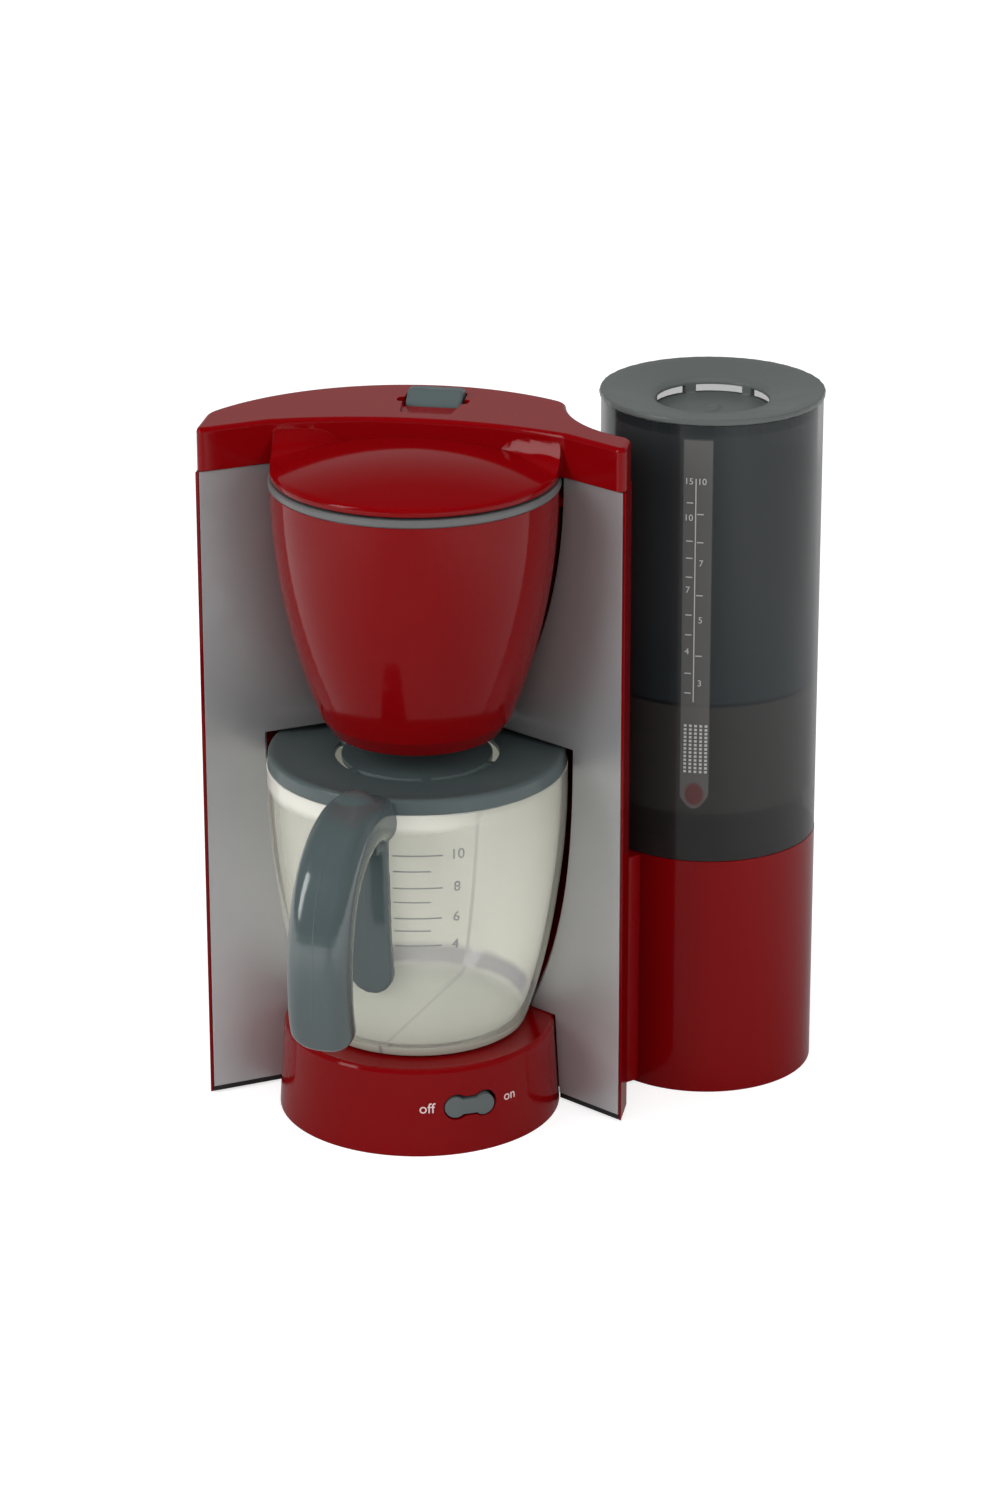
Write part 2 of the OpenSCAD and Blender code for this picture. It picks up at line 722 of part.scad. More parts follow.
// Grey insert: a flat rim that shows as the ring under the nose, and a slotted basket.
module filter_insert() {
    t = 1.5;
    color(slate) at_brew() difference() {
        union() {
            rotate_extrude($fn = 120) polygon([[basket_top_r - t, ring_bottom], [ring_r - 0.5, ring_bottom],
                [ring_r, ring_bottom + 0.5], [ring_r, ring_top - 0.5], [ring_r - 0.5, ring_top],
                [basket_top_r - t, ring_top]]);
            rotate_extrude($fn = 96) polygon([[0, basket_bottom], [basket_foot_r, basket_bottom],
                [basket_top_r, ring_bottom + eps], [basket_top_r - t, ring_bottom + eps],
                [basket_foot_r - t, basket_bottom + t], [0, basket_bottom + t]]);
        }
        for (a = [0 : 45 : 315]) rotate([0, 0, a]) translate([9, 0, basket_bottom - 1]) cylinder(r = 1.2, h = 4, $fn = 24);
        translate([0, 0, basket_bottom - 1]) cylinder(r = 1.2, h = 4, $fn = 24);
    }
}
// Small outlet plug in the floor of the holder.
module drip_plug() {
    color(slate) at_brew() difference() {
        union() {
            pin(4.2 - run, holder_bottom - 0.2, holder_bottom + holder_wall + eps);
            pin(6, holder_bottom + holder_wall, holder_bottom + holder_wall + 1.4);
        }
        pin(2.1, holder_bottom - 2, holder_bottom + 6);
    }
}

// ---- jug -----------------------------------------------------------------------------------
module jug_solid(inset, z0, z1) {
    zs = steps(jug_foot, z1, profile_n + 4);
    rotate_extrude($fn = 120)
        polygon(concat([[0, z0], [jug_outer(max(z0, jug_foot)) - inset - (inset > 0 ? 0 : 1.8), z0]],
                       [for (z = zs) if (z > z0 + 1) [jug_outer(z) - inset, z]],
                       [[0, z1]]));
}
rim_r = lid_r - 1.6;                           // radius of the jug's upper edge inside the lid's skirt
// Milky clear vessel with a stepped foot and an upper edge that the lid closes over.
module jug_body() {
    color(milky) at_brew() difference() {
        union() {
            jug_solid(0, jug_foot, jug_rim);
            pin(rim_r, jug_rim - 2, lip_top);
        }
        jug_solid(jug_wall, jug_foot + 2.4, jug_rim - 2);
        pin(rim_r - jug_wall, jug_rim - 2 - eps, lip_top + 1);
        pin(26, jug_foot - 1, jug_foot + 0.8);
        handle_studs(0.05);
    }
}
// Slate lid: a skirted disc with a ring of six slits around its middle.
module jug_lid() {
    mouth_r = rim_r - jug_wall - 0.15;
    color(slate) at_brew() difference() {
        rotate_extrude($fn = 120) polygon([[0, lip_top], [mouth_r - 1.4, lip_top], [mouth_r - 1.4, lip_top - 3.4],
            [mouth_r - 0.3, lip_top - 3.4], [mouth_r, lip_top - 3], [mouth_r, lip_top], [rim_r + 0.1, lip_top],
            [rim_r + 0.1, lid_bottom], [lid_r - 0.2, lid_bottom], [lid_r, lid_bottom + 0.4],
            [lid_r - 0.4, lid_top - 0.6], [lid_r - 1, lid_top], [lid_r - 5, lid_top - 0.9],
            [slit_r + slit_w, lid_top - 1.7], [0, lid_top - 1.7]]);
        difference() {
            translate([0, 0, lip_top - 1]) difference() {
                cylinder(r = slit_r + slit_w / 2, h = 6);
                translate([0, 0, -1]) cylinder(r = slit_r - slit_w / 2, h = 8);
            }
            for (a = [-13 : 60 : 287]) rotate([0, 0, a]) translate([slit_r, 0, lip_top]) cube([8, 2.2, 12], center = true);
        }
    }
}

grip_bow_r = 64;                               // slow bend of the grip itself
grip_bow_z = 71;
bow_up = 17;
neck_r = 26.7;                                 // tighter bend from the grip over to the neck
neck_x = grip_reach - grip_bow_r + (grip_bow_r - neck_r) * cos(bow_up);
neck_z = grip_bow_z + (grip_bow_r - neck_r) * sin(bow_up);
neck_turn = 118;
neck_end = max(0.2, neck_x + neck_r * cos(neck_turn) - jug_r + 1);   // straight run into the leg
leg_t = 3.6;
leg_low = 51;
stud_z = [62, 96];
thumb_r = 7.6;
thumb_top = holder_bottom - 0.6;               // the holder slides out above the thumb rest
// Handle in one moulding: grip with a free lower end, neck with a thumb rest, leg on the jug's wall.
module jug_handle() {
    color(slate) {
        on_handle() {
            difference() {
                union() {
                    grip_bar();
                    handle_neck();
                }
                jug_clearance();
            }
        }
        handle_leg();
        at_brew() handle_studs(0);
    }
}
module jug_clearance() {
    translate([0, 0, lid_bottom - 0.4]) cylinder(r = lid_r + 0.3, h = 30);
    translate([0, 0, jug_rim - 20]) cylinder(r = jug_r + 0.15, h = 40);
}
// Sweep of a rounded section along the two bends, with a domed lower end.
grip_dome = 7;
bow_down = asin((grip_bow_z - grip_bottom) / grip_bow_r);
function grip_ring() = [for (q = [0 : 3], i = [0 : 5])
    let (a = 90 * q + 18 * i, sx = (q == 0 || q == 3) ? 1 : -1, sy = q < 2 ? 1 : -1)
    [sx * (grip_d / 2 - grip_round) + grip_round * cos(a), sy * (grip_w / 2 - grip_round) + grip_round * sin(a)]];
// Stations are [x, z, angle, scale of the section].
function grip_stations() = concat(
    [for (i = [0 : 6]) let (b = 90 * i / 6, a = -bow_down + grip_dome * (1 - cos(b)) / grip_bow_r * 180 / PI)
        [grip_reach - grip_bow_r + grip_bow_r * cos(a), grip_bow_z + grip_bow_r * sin(a), a, max(0.12, sin(b))]],
    [for (i = [1 : 12]) let (a0 = -bow_down + grip_dome / grip_bow_r * 180 / PI, a = a0 + (bow_up - a0) * i / 12)
        [grip_reach - grip_bow_r + grip_bow_r * cos(a), grip_bow_z + grip_bow_r * sin(a), a, 1]],
    [for (i = [1 : 22]) let (a = bow_up + (neck_turn - bow_up) * i / 22)
        [neck_x + neck_r * cos(a), neck_z + neck_r * sin(a), a, 1]],
    [[neck_x + neck_r * cos(neck_turn) - neck_end * cos(neck_turn - 90),
      neck_z + neck_r * sin(neck_turn) - neck_end * sin(neck_turn - 90), neck_turn, 1]]);
module grip_bar() {
    ring = grip_ring();
    path = grip_stations();
    m = len(ring);
    n = len(path);
    pts = [for (t = path, q = ring)
        [t[0] + q[0] * t[3] * cos(t[2]), q[1] * t[3], t[1] + q[0] * t[3] * sin(t[2])]];
    walls = [for (i = [0 : n - 2], k = [0 : m - 1]) let (k2 = (k + 1) % m)
        [i * m + k, (i + 1) * m + k, (i + 1) * m + k2, i * m + k2]];
    ends = [[for (k = [0 : m - 1]) k], [for (k = [0 : m - 1]) n * m - 1 - k]];
    polyhedron(points = pts, faces = concat(walls, ends), convexity = 6);
}
// Block between the bend and the leg, and the thumb rest on top.
module handle_neck() {
    translate([42, -leg_w / 2 + 1, jug_rim - 10]) cube([8, leg_w - 2, 8]);
    translate([53.5, 0, thumb_top - thumb_r]) intersection() {
        sphere(r = thumb_r, $fn = 64);
        translate([-10, -10, -4]) cube([20, 20, 20]);
    }
}
// Leg that follows the jug's wall and ends in a round foot.
module handle_leg() {
    on_handle() intersection() {
        difference() {
            jug_solid(-leg_t, jug_foot + 3, jug_rim - 0.5);
            jug_solid(-0.15, jug_foot, jug_rim + 1);
        }
        union() {
            translate([0, -leg_w / 2, leg_low + leg_w / 2]) cube([60, leg_w, 60]);
            translate([0, 0, leg_low + leg_w / 2]) rotate([0, 90, 0]) cylinder(r = leg_w / 2, h = 60);
        }
    }
}
// Studs that hold the leg in two holes of the jug's wall.
module handle_studs(gap) {
    rotate([0, 0, -90 - handle_turn]) for (z = stud_z) translate([0, 0, z]) rotate([0, 90, 0])
        translate([0, 0, jug_outer(z) - jug_wall + (gap > 0 ? -3 : 0.1)])
            cylinder(r = 2 + gap, h = jug_wall + (gap > 0 ? 6 : 1.5));
}

// ---- tank ----------------------------------------------------------------------------------
spigot_r = 28.5;
tank_in = tank_r - tank_wall;
tank_top = total_h - 1.8;
web_axis = 222;                                // direction of the web, from the tank's axis to the body
web_top = tank_seat - 0.6;
housing_screw_z = [14, 42];
screw_axis = 216;                              // direction of the housing's screws, square to the hollow
function across_web(p) = let (u = [cos(web_axis), sin(web_axis)]) 2 * (p * u) * u - p;
function web_edge(inset) = [[-17 - inset, -60], [-19 - inset, -31.3], [-16.4 - inset, -28.6 + inset / 2]];
module web_plan(inset) {
    e = web_edge(inset);
    intersection() {
        polygon([e[0], e[1], e[2], [-10, -14], [-18, -6], across_web(e[2]), across_web(e[1]), across_web(e[0])]);
        translate([cut_x - tank_dx, cut_y - tank_dy]) circle(cut_r - 0.15 - inset, $fn = 180);
    }
}
module at_cut() { translate([cut_x - tank_dx, cut_y - tank_dy, 0]) children(); }
module on_web(z) { translate([0, 0, z]) rotate([0, 0, screw_axis]) rotate([0, 90, 0]) children(); }
// Round red housing under the tank, with the spigot it drops over and the web to the body.
module tank_housing() {
    w = 2;
    color(red) at_tank() difference() {
        union() {
            difference() {
                union() {
                    pin(tank_r + 0.1, 0, tank_seat - 0.1);
                    slab(1, web_top) web_plan(0);
                }
                difference() {
                    union() {
                        pin(tank_r + 0.1 - w, -1, tank_seat - w);
                        slab(-1, web_top - w) web_plan(w);
                    }
                    difference() {
                        pin(tank_r + 0.1, -2, tank_seat);
                        pin(tank_r + 0.1 - w, -3, tank_seat + 1);
                    }
                }
            }
            pin(spigot_r, tank_seat - 1, tank_seat + spigot_h);
            at_cut() for (z = housing_screw_z) on_web(z) pin(3.2, cut_r - 15.3, cut_r - 0.16);
        }
        pin(spigot_r - w, -1, tank_seat + spigot_h - w);
        at_cut() for (z = housing_screw_z) on_web(z) pin(screw_r, cut_r - 12, cut_r + 1);
    }
}
module housing_screws() {
    color(steel) at_tank() at_cut() for (z = housing_screw_z)
        on_web(z) translate([0, 0, cut_r + cover_wall + 1.65]) rotate([180, 0, 0]) screw(11);
}
// Smoke-clear water tank: open skirt below, raised floor, open top.
module water_tank() {
    color(smoke) at_tank() difference() {
        pin(tank_r, tank_seat, tank_top);
        pin(tank_in, tank_floor_z, tank_top + 1);
        pin(tank_in, tank_seat + 14, tank_floor_z - tank_wall);
        pin(spigot_r + 0.4, tank_seat - 1, tank_seat + 15);
    }
}
// Slate lid of the tank: a dished disc around an open cage with a central floor.
module tank_lid() {
    z0 = tank_top + 0.1;
    dish_z = total_h - 3.4;
    floor_z = total_h - 6.2;
    color(slate) at_tank() difference() {
        rotate_extrude($fn = 120) polygon([[0, floor_z - 1.2], [fill_r, floor_z - 1.2], [fill_r, dish_z - 1.6],
            [tank_in - 1.6, z0 - 0.6], [tank_in - 1.6, z0 - 4], [tank_in - 0.15, z0 - 4], [tank_in - 0.15, z0],
            [tank_lid_r - 0.2, z0], [tank_lid_r, z0 + 0.3], [tank_lid_r, total_h - 0.4], [tank_lid_r - 0.6, total_h],
            [fill_r, dish_z], [fill_r - 1.2, dish_z - 0.4], [fill_r - 1.2, floor_z], [0, floor_z]]);
        for (a = [0 : 60 : 300]) rotate([0, 0, a]) translate([fill_r, 0, (floor_z + dish_z - 0.9) / 2])
            cube([8, 0.735 * fill_r, dish_z - floor_z - 1.5], center = true);
        translate([0, 0, floor_z + 0.6]) sphere(r = 1.2, $fn = 32);
    }
}

front_housing();
rear_cover();
base_plate();
left_panel();
right_panel();
top_cap();
drum_base();
tank_housing();
cover_screws();
plate_screws();
cap_screws();
top_button();
button_spring();
button_clip();
switch_rocker();
switch_axle();
filter_holder();
filter_insert();
drip_plug();
jug_body();
jug_lid();
jug_handle();
water_tank();
tank_lid();
housing_screws();
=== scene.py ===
import math

import bmesh
import bpy
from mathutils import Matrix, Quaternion, Vector


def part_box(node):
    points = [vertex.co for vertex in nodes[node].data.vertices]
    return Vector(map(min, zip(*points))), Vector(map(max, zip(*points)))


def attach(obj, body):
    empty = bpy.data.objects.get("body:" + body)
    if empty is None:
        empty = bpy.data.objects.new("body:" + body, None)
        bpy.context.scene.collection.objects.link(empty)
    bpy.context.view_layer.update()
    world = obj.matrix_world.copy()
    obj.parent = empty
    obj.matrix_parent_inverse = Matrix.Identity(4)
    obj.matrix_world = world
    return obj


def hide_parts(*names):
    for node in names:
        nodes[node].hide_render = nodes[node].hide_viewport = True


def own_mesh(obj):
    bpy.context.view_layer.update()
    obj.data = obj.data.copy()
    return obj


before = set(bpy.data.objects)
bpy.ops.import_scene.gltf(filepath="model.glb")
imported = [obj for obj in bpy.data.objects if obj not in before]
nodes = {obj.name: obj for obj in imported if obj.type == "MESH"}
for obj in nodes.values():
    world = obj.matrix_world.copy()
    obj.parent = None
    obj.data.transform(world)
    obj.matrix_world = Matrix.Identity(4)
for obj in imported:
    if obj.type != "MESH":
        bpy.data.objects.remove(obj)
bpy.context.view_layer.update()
bpy.ops.object.select_all(action="DESELECT")

# ---- Camera --------------------------------------------------------------------------------
# A long lens stands in front, a little to the right and above, and looks slightly down on
# the coffee maker. The brew axis runs up through the jug and the filter holder.
mm = 0.001
brew = (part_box("jug_lid")[0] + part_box("jug_lid")[1]) / 2
aim = Vector((brew.x + 22.46 * mm, brew.y + 11.89 * mm, 107.72 * mm))
turn, rise, roll = math.radians(9.64), math.radians(20.92), math.radians(-0.10)
lens_away = 1400.45
away = Vector((math.sin(turn) * math.cos(rise), -math.cos(turn) * math.cos(rise), math.sin(rise)))
bpy.ops.object.camera_add(location=aim + away * lens_away * mm)
camera = bpy.context.object
camera.name = "studio_camera"
camera.rotation_mode = "QUATERNION"
camera.rotation_quaternion = away.to_track_quat("Z", "Y") @ Quaternion((0, 0, 1), roll)
camera.data.sensor_fit = "VERTICAL"
camera.data.sensor_height = 36
camera.data.lens = 114.78
camera.data.clip_start = 0.05
camera.data.clip_end = 20
bpy.context.scene.camera = camera
bpy.context.scene.view_settings.view_transform = "Standard"

# ---- Floor ---------------------------------------------------------------------------------
# A plain pale studio floor. It takes the soft shadow of the object and runs into the white
# of the surroundings. Glossy pieces mirror it where it lies at the object's two sides.
floor_reach, paper_tone = 12, 0.56
near_white, full_white, fade_from, fade_to = 0.68, 1.0, 0.6, 2.6
flank_glow, flank_from, flank_to = 0.7, 0.12, 0.42


def sums(tree, how, *terms):
    """One step of arithmetic; the terms are numbers or sockets."""
    node = tree.nodes.new("ShaderNodeMath")
    node.operation = how
    for socket, term in zip(node.inputs, terms):
        if isinstance(term, (int, float)):
            socket.default_value = term
        else:
            tree.links.new(term, socket)
    return node.outputs[0]


def ramp(tree, value, low, high, at_low=0.0, at_high=1.0, kind="SMOOTHSTEP"):
    """Goes from at_low, where value is low, to at_high, where it is high. Low may be the larger."""
    step = tree.nodes.new("ShaderNodeMapRange")
    step.interpolation_type = kind
    step.inputs["From Min"].default_value = min(low, high)
    step.inputs["From Max"].default_value = max(low, high)
    step.inputs["To Min"].default_value = at_low if low < high else at_high
    step.inputs["To Max"].default_value = at_high if low < high else at_low
    tree.links.new(value, step.inputs["Value"])
    return step.outputs["Result"]


bpy.ops.object.select_all(action="DESELECT")
bpy.ops.mesh.primitive_circle_add(vertices=96, radius=floor_reach, fill_type="NGON", location=(0, 0, 0))
floor = bpy.context.object
floor.name = "studio_floor"
floor_paper = bpy.data.materials.new("floor_paper")
floor_paper.use_nodes = True
tree = floor_paper.node_tree
tree.nodes.clear()
out = tree.nodes.new("ShaderNodeOutputMaterial")
paper = tree.nodes.new("ShaderNodeBsdfDiffuse")
paper.inputs["Color"].default_value = (paper_tone, paper_tone, paper_tone, 1)
glow = tree.nodes.new("ShaderNodeEmission")
glow.inputs["Color"].default_value = (1, 1, 1, 1)
spot = tree.nodes.new("ShaderNodeTexCoord").outputs["Object"]
sideways = tree.nodes.new("ShaderNodeSeparateXYZ")
tree.links.new(spot, sideways.inputs[0])
flanks = ramp(tree, sums(tree, "ABSOLUTE", sideways.outputs["X"]), flank_from, flank_to, 0.0, flank_glow, "LINEAR")
far_off = tree.nodes.new("ShaderNodeVectorMath")
far_off.operation = "LENGTH"
tree.links.new(spot, far_off.inputs[0])
fade = ramp(tree, far_off.outputs["Value"], fade_from, fade_to, near_white, full_white, "LINEAR")
rays = tree.nodes.new("ShaderNodeLightPath").outputs
seen = sums(tree, "MAXIMUM", rays["Is Camera Ray"], rays["Is Transmission Ray"])
side_glow = sums(tree, "MULTIPLY", flanks, rays["Is Glossy Ray"])
tree.links.new(sums(tree, "MAXIMUM", sums(tree, "MULTIPLY", seen, fade), side_glow), glow.inputs["Strength"])
both = tree.nodes.new("ShaderNodeAddShader")
tree.links.new(paper.outputs[0], both.inputs[0])
tree.links.new(glow.outputs[0], both.inputs[1])
tree.links.new(both.outputs[0], out.inputs["Surface"])
floor.data.materials.append(floor_paper)

# ---- Studio light --------------------------------------------------------------------------
# The room is dark in front, brighter behind and dim overhead. Soft panels stand at both sides
# in front, and two more hang high in front and over the back. Only the narrow one at the left
# is mirrored in the gloss.
front_dark, back_bright, overhead = 0.05, 0.36, 0.25
lamps = (
    # name, place, width, height, watts, mirrored
    ("left_panel_light", (-1.3, -1.0, 0.9), 0.5, 1.2, 11, True),
    ("left_fill_light", (-1.3, -1.0, 0.9), 1.2, 1.2, 12, False),
    ("right_panel_light", (1.5, -0.9, 0.8), 1.2, 1.2, 15, False),
    ("front_panel_light", (0.2, -1.9, 1.5), 1.7, 1.7, 24, False),
    ("top_panel_light", (0.0, 0.3, 1.7), 1.4, 1.4, 13, False),
)
room = bpy.data.worlds.new("studio_surround")
bpy.context.scene.world = room
room.use_nodes = True
tree = room.node_tree
tree.nodes.clear()
out = tree.nodes.new("ShaderNodeOutputWorld")
air = tree.nodes.new("ShaderNodeBackground")
air.inputs["Color"].default_value = (1, 1, 1, 1)
compass = tree.nodes.new("ShaderNodeSeparateXYZ")
tree.links.new(tree.nodes.new("ShaderNodeTexCoord").outputs["Generated"], compass.inputs[0])
behind = ramp(tree, compass.outputs["Y"], -0.5, 0.6, front_dark, back_bright, "LINEAR")
above = ramp(tree, compass.outputs["Z"], 0.38, 0.62, 1.0, overhead, "LINEAR")
rays = tree.nodes.new("ShaderNodeLightPath").outputs
seen = sums(tree, "MAXIMUM", rays["Is Camera Ray"], rays["Is Transmission Ray"])
tree.links.new(sums(tree, "MAXIMUM", seen, sums(tree, "MULTIPLY", behind, above)), air.inputs["Strength"])
tree.links.new(air.outputs[0], out.inputs["Surface"])
for name, place, wide, tall, watts, mirrored in lamps:
    bpy.ops.object.light_add(type="AREA", location=place)
    panel = bpy.context.object
    panel.name = name
    panel.data.shape = "RECTANGLE"
    panel.data.size = wide
    panel.data.size_y = tall
    panel.data.energy = watts
    panel.visible_glossy = mirrored
    panel.rotation_mode = "QUATERNION"
    panel.rotation_quaternion = (Vector(place) - aim).to_track_quat("Z", "Y")


# ---- Red body ------------------------------------------------------------------------------
# Front shell, rear cover, drum foot and tank housing are injection moulded in a deep red
# styrene with a high gloss, and screwed together from behind and below.
def noise(tree, place, scale, detail):
    grain = tree.nodes.new("ShaderNodeTexNoise")
    grain.inputs["Scale"].default_value = scale
    grain.inputs["Detail"].default_value = detail
    tree.links.new(place, grain.inputs["Vector"])
    return grain.outputs["Fac"]


def moulded(name, colour, rough, mottle=0.05, peel=0.004, edge=0.35, metal=0.0, gloss=0.5):
    """Moulded plastic. Mottle is how far its tone varies, peel the depth of the fine waves on
    its skin and edge the radius of its corners, both in mm. A node named tone gives its colour."""
    stuff = bpy.data.materials.new(name)
    stuff.use_nodes = True
    tree = stuff.node_tree
    skin = tree.nodes["Principled BSDF"]
    skin.inputs["Metallic"].default_value = metal
    skin.inputs["Specular IOR Level"].default_value = gloss
    place = tree.nodes.new("ShaderNodeTexCoord").outputs["Object"]
    tone = tree.nodes.new("ShaderNodeMix")
    tone.name = "tone"
    tone.data_type = "RGBA"
    tone.inputs["A"].default_value = (*[c * (1 - mottle) for c in colour], 1)
    tone.inputs["B"].default_value = (*[min(1, c * (1 + mottle)) for c in colour], 1)
    tree.links.new(noise(tree, place, 26, 3), tone.inputs["Factor"])
    tree.links.new(tone.outputs["Result"], skin.inputs["Base Color"])
    wear = ramp(tree, noise(tree, place, 90, 4), 0, 1, rough * 0.8, rough * 1.25, "LINEAR")
    tree.links.new(wear, skin.inputs["Roughness"])
    waves = tree.nodes.new("ShaderNodeBump")
    waves.inputs["Strength"].default_value = 0.5
    waves.inputs["Distance"].default_value = peel * mm
    tree.links.new(noise(tree, place, 420, 2), waves.inputs["Height"])
    soften = tree.nodes.new("ShaderNodeBevel")
    soften.samples = 4
    soften.inputs["Radius"].default_value = edge * mm
    tree.links.new(soften.outputs["Normal"], waves.inputs["Normal"])
    tree.links.new(waves.outputs["Normal"], skin.inputs["Normal"])
    return stuff


def coat(piece, stuff):
    piece.data.materials.clear()
    piece.data.materials.append(stuff)


red_styrene = moulded("glossy_red_styrene", (0.182, 0.0008, 0.0020), 0.10, gloss=0.17)
for name in ("front_housing", "rear_cover", "drum_base", "tank_housing"):
    coat(nodes[name], red_styrene)

# ---- Top cap -------------------------------------------------------------------------------
# One red moulding with a visor over the back of the body and a domed nose over the filter
# holder. A concave collar sweeps from the nose's rim up to the visor's front edge.
# All sizes are in mm about the brew axis.
hair = 0.0005  # how far off its axis a lathe profile starts and ends
visor_half, visor_low, visor_high, wall = 62, 195.2, 208, 2
falling = math.radians(33.2)
slope, lean = math.tan(falling), math.cos(falling)
front_y = -8.9 - 0.8 / lean
middle_half, arc_half, arc_r, arc_y = 43, 41.5, 120.7, 10.5
scoop_x, scoop_y, scoop_r, scoop_end = 77.7, 39.4, 39.8, 6.6
back_r, back_y = 69.6, -23.5
nose_r, nose_rise, nose_rim = 41.5, 5.5, 197.6
dome_r = (nose_r ** 2 + nose_rise ** 2) / (2 * nose_rise)
collar_top, collar_r, collar_x, collar_y, collar_turn = 206.6, 25.2, 13, -14.8, 66
edge_from, edge_long, cove, cove_end, bulge_out = 22.6, 19.1, 2.1, 4.5, 1.05
stem_y, guide_foot, guide_floor, pocket_floor = 28.4, 198.6, 200.2, 206.4


def alone(piece):
    bpy.ops.object.select_all(action="DESELECT")
    piece.select_set(True)
    bpy.context.view_layer.objects.active = piece


def prism(name, corners, push):
    """A closed block: the corners of one face, pushed along a vector."""
    bpy.ops.object.select_all(action="DESELECT")
    bpy.ops.mesh.primitive_circle_add(vertices=len(corners), radius=0.1, fill_type="NGON")
    piece = bpy.context.object
    piece.name = name
    for vertex, (x, y, z) in zip(piece.data.vertices, corners):
        vertex.co = (brew.x + x * mm, brew.y + y * mm, z * mm)
    bpy.context.object.location = (0, 0, 0)
    bpy.ops.object.mode_set(mode="EDIT")
    bpy.ops.mesh.select_all(action="SELECT")
    bpy.ops.mesh.extrude_region_move(TRANSFORM_OT_translate={"value": [p * mm for p in push]})
    bpy.ops.mesh.select_all(action="SELECT")
    bpy.ops.mesh.normals_make_consistent(inside=False)
    bpy.ops.object.mode_set(mode="OBJECT")
    return piece


def turned(name, profile, centre=(0, 0), sides=144):
    """A lathe shape from (radius, height) points, about an upright axis."""
    hub_x, hub_y = brew.x + centre[0] * mm, brew.y + centre[1] * mm
    first_r, first_z = profile[0]
    bpy.ops.object.select_all(action="DESELECT")
    bpy.ops.mesh.primitive_circle_add(vertices=sides, radius=first_r * mm, location=(hub_x, hub_y, first_z * mm))
    piece = bpy.context.object
    piece.name = name
    bpy.ops.object.transform_apply(location=True, rotation=False, scale=False)
    bpy.ops.object.mode_set(mode="EDIT")
    bpy.ops.mesh.select_all(action="SELECT")
    for (r0, z0), (r1, z1) in zip(profile, profile[1:]):
        bpy.ops.mesh.extrude_edges_move(TRANSFORM_OT_translate={"value": (0, 0, (z1 - z0) * mm)})
        bpy.ops.transform.resize(value=(r1 / r0, r1 / r0, 1), center_override=(hub_x, hub_y, z1 * mm))
    bpy.ops.mesh.select_all(action="SELECT")
    bpy.ops.mesh.remove_doubles(threshold=0.000004)
    bpy.ops.mesh.normals_make_consistent(inside=False)
    bpy.ops.object.mode_set(mode="OBJECT")
    return piece


def combine(piece, tool, how):
    alone(piece)
    step = piece.modifiers.new("step", "BOOLEAN")
    step.operation = how
    step.solver = "EXACT"
    step.object = tool
    bpy.ops.object.modifier_apply(modifier=step.name)
    bpy.data.objects.remove(tool)


def ease(piece, width, steps, chosen):
    """Rounds the edges that chosen picks by their two end points."""
    alone(piece)
    bpy.ops.object.mode_set(mode="EDIT")
    bpy.ops.mesh.select_mode(type="EDGE")
    bpy.ops.mesh.select_all(action="DESELECT")
    mesh = bmesh.from_edit_mesh(piece.data)
    for edge in mesh.edges:
        ends = [((v.co.x - brew.x) / mm, (v.co.y - brew.y) / mm, v.co.z / mm) for v in edge.verts]
        if chosen(*ends) and edge.calc_face_angle(0) > 0.5:
            edge.select_set(True)
    bmesh.update_edit_mesh(piece.data)
    bpy.ops.mesh.bevel(offset=width * mm, segments=steps, affect="EDGES", clamp_overlap=False)
    bpy.ops.mesh.select_mode(type="VERT")
    bpy.ops.object.mode_set(mode="OBJECT")


def finish(piece, stuff, body, angle=35):
    alone(piece)
    bpy.ops.object.shade_smooth_by_angle(angle=math.radians(angle))
    flats = piece.modifiers.new("flat_faces", "WEIGHTED_NORMAL")
    flats.keep_sharp = True
    bpy.ops.object.modifier_apply(modifier=flats.name)
    coat(piece, stuff)
    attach(piece, body)


def dome_z(r):
    return nose_rim + nose_rise - dome_r + math.sqrt(dome_r ** 2 - r ** 2)


def front_edge(x, inset=0.0):
    return arc_y - arc_r + math.sqrt((arc_r + inset) ** 2 - x * x)


def visor_outline(inset, z):
    """The cap without its nose: bowed front edge, straight ends, a scoop beside the tank, round back."""
    half = visor_half - inset
    line = front_y + inset / lean
    end_y, middle_y = line + inset * slope, line + (visor_half - middle_half) * slope
    rows = [(-half, end_y), (-middle_half, middle_y)]
    rows += [(x, front_edge(x, inset)) for x in [-arc_half + 2 * arc_half * i / 60 for i in range(61)]]
    rows += [(middle_half, middle_y), (half, end_y)]
    reach = scoop_r + inset
    first = math.degrees(math.acos((scoop_x - half) / reach))
    for i in (0, *range(3, 28), 30):
        a = math.radians(180 + first - (first - scoop_end) * i / 30)
        rows.append((scoop_x + reach * math.cos(a), scoop_y + reach * math.sin(a)))
    tip = rows.pop()
    back = back_r - inset
    start, end = math.atan2(tip[1] - back_y, tip[0]), math.pi - math.acos(half / back)
    for i in (0, *range(2, 47), 48):
        a = start + (end - start) * i / 48
        rows.append((back * math.cos(a), back_y + back * math.sin(a)))
    return [(x, y, z) for x, y in rows]


def upright(a, b):
    return math.dist(a[:2], b[:2]) < 0.01


def rounded_box(half_x, y0, y1, r, z, n=6):
    spots = ((half_x - r, y0 + r, -90), (half_x - r, y1 - r, 0), (-half_x + r, y1 - r, 90), (-half_x + r, y0 + r, 180))
    turns = [(x, y, math.radians(a + 90 * i / n)) for x, y, a in spots for i in range(n + 1)]
    return [(x + r * math.cos(a), y + r * math.sin(a), z) for x, y, a in turns]


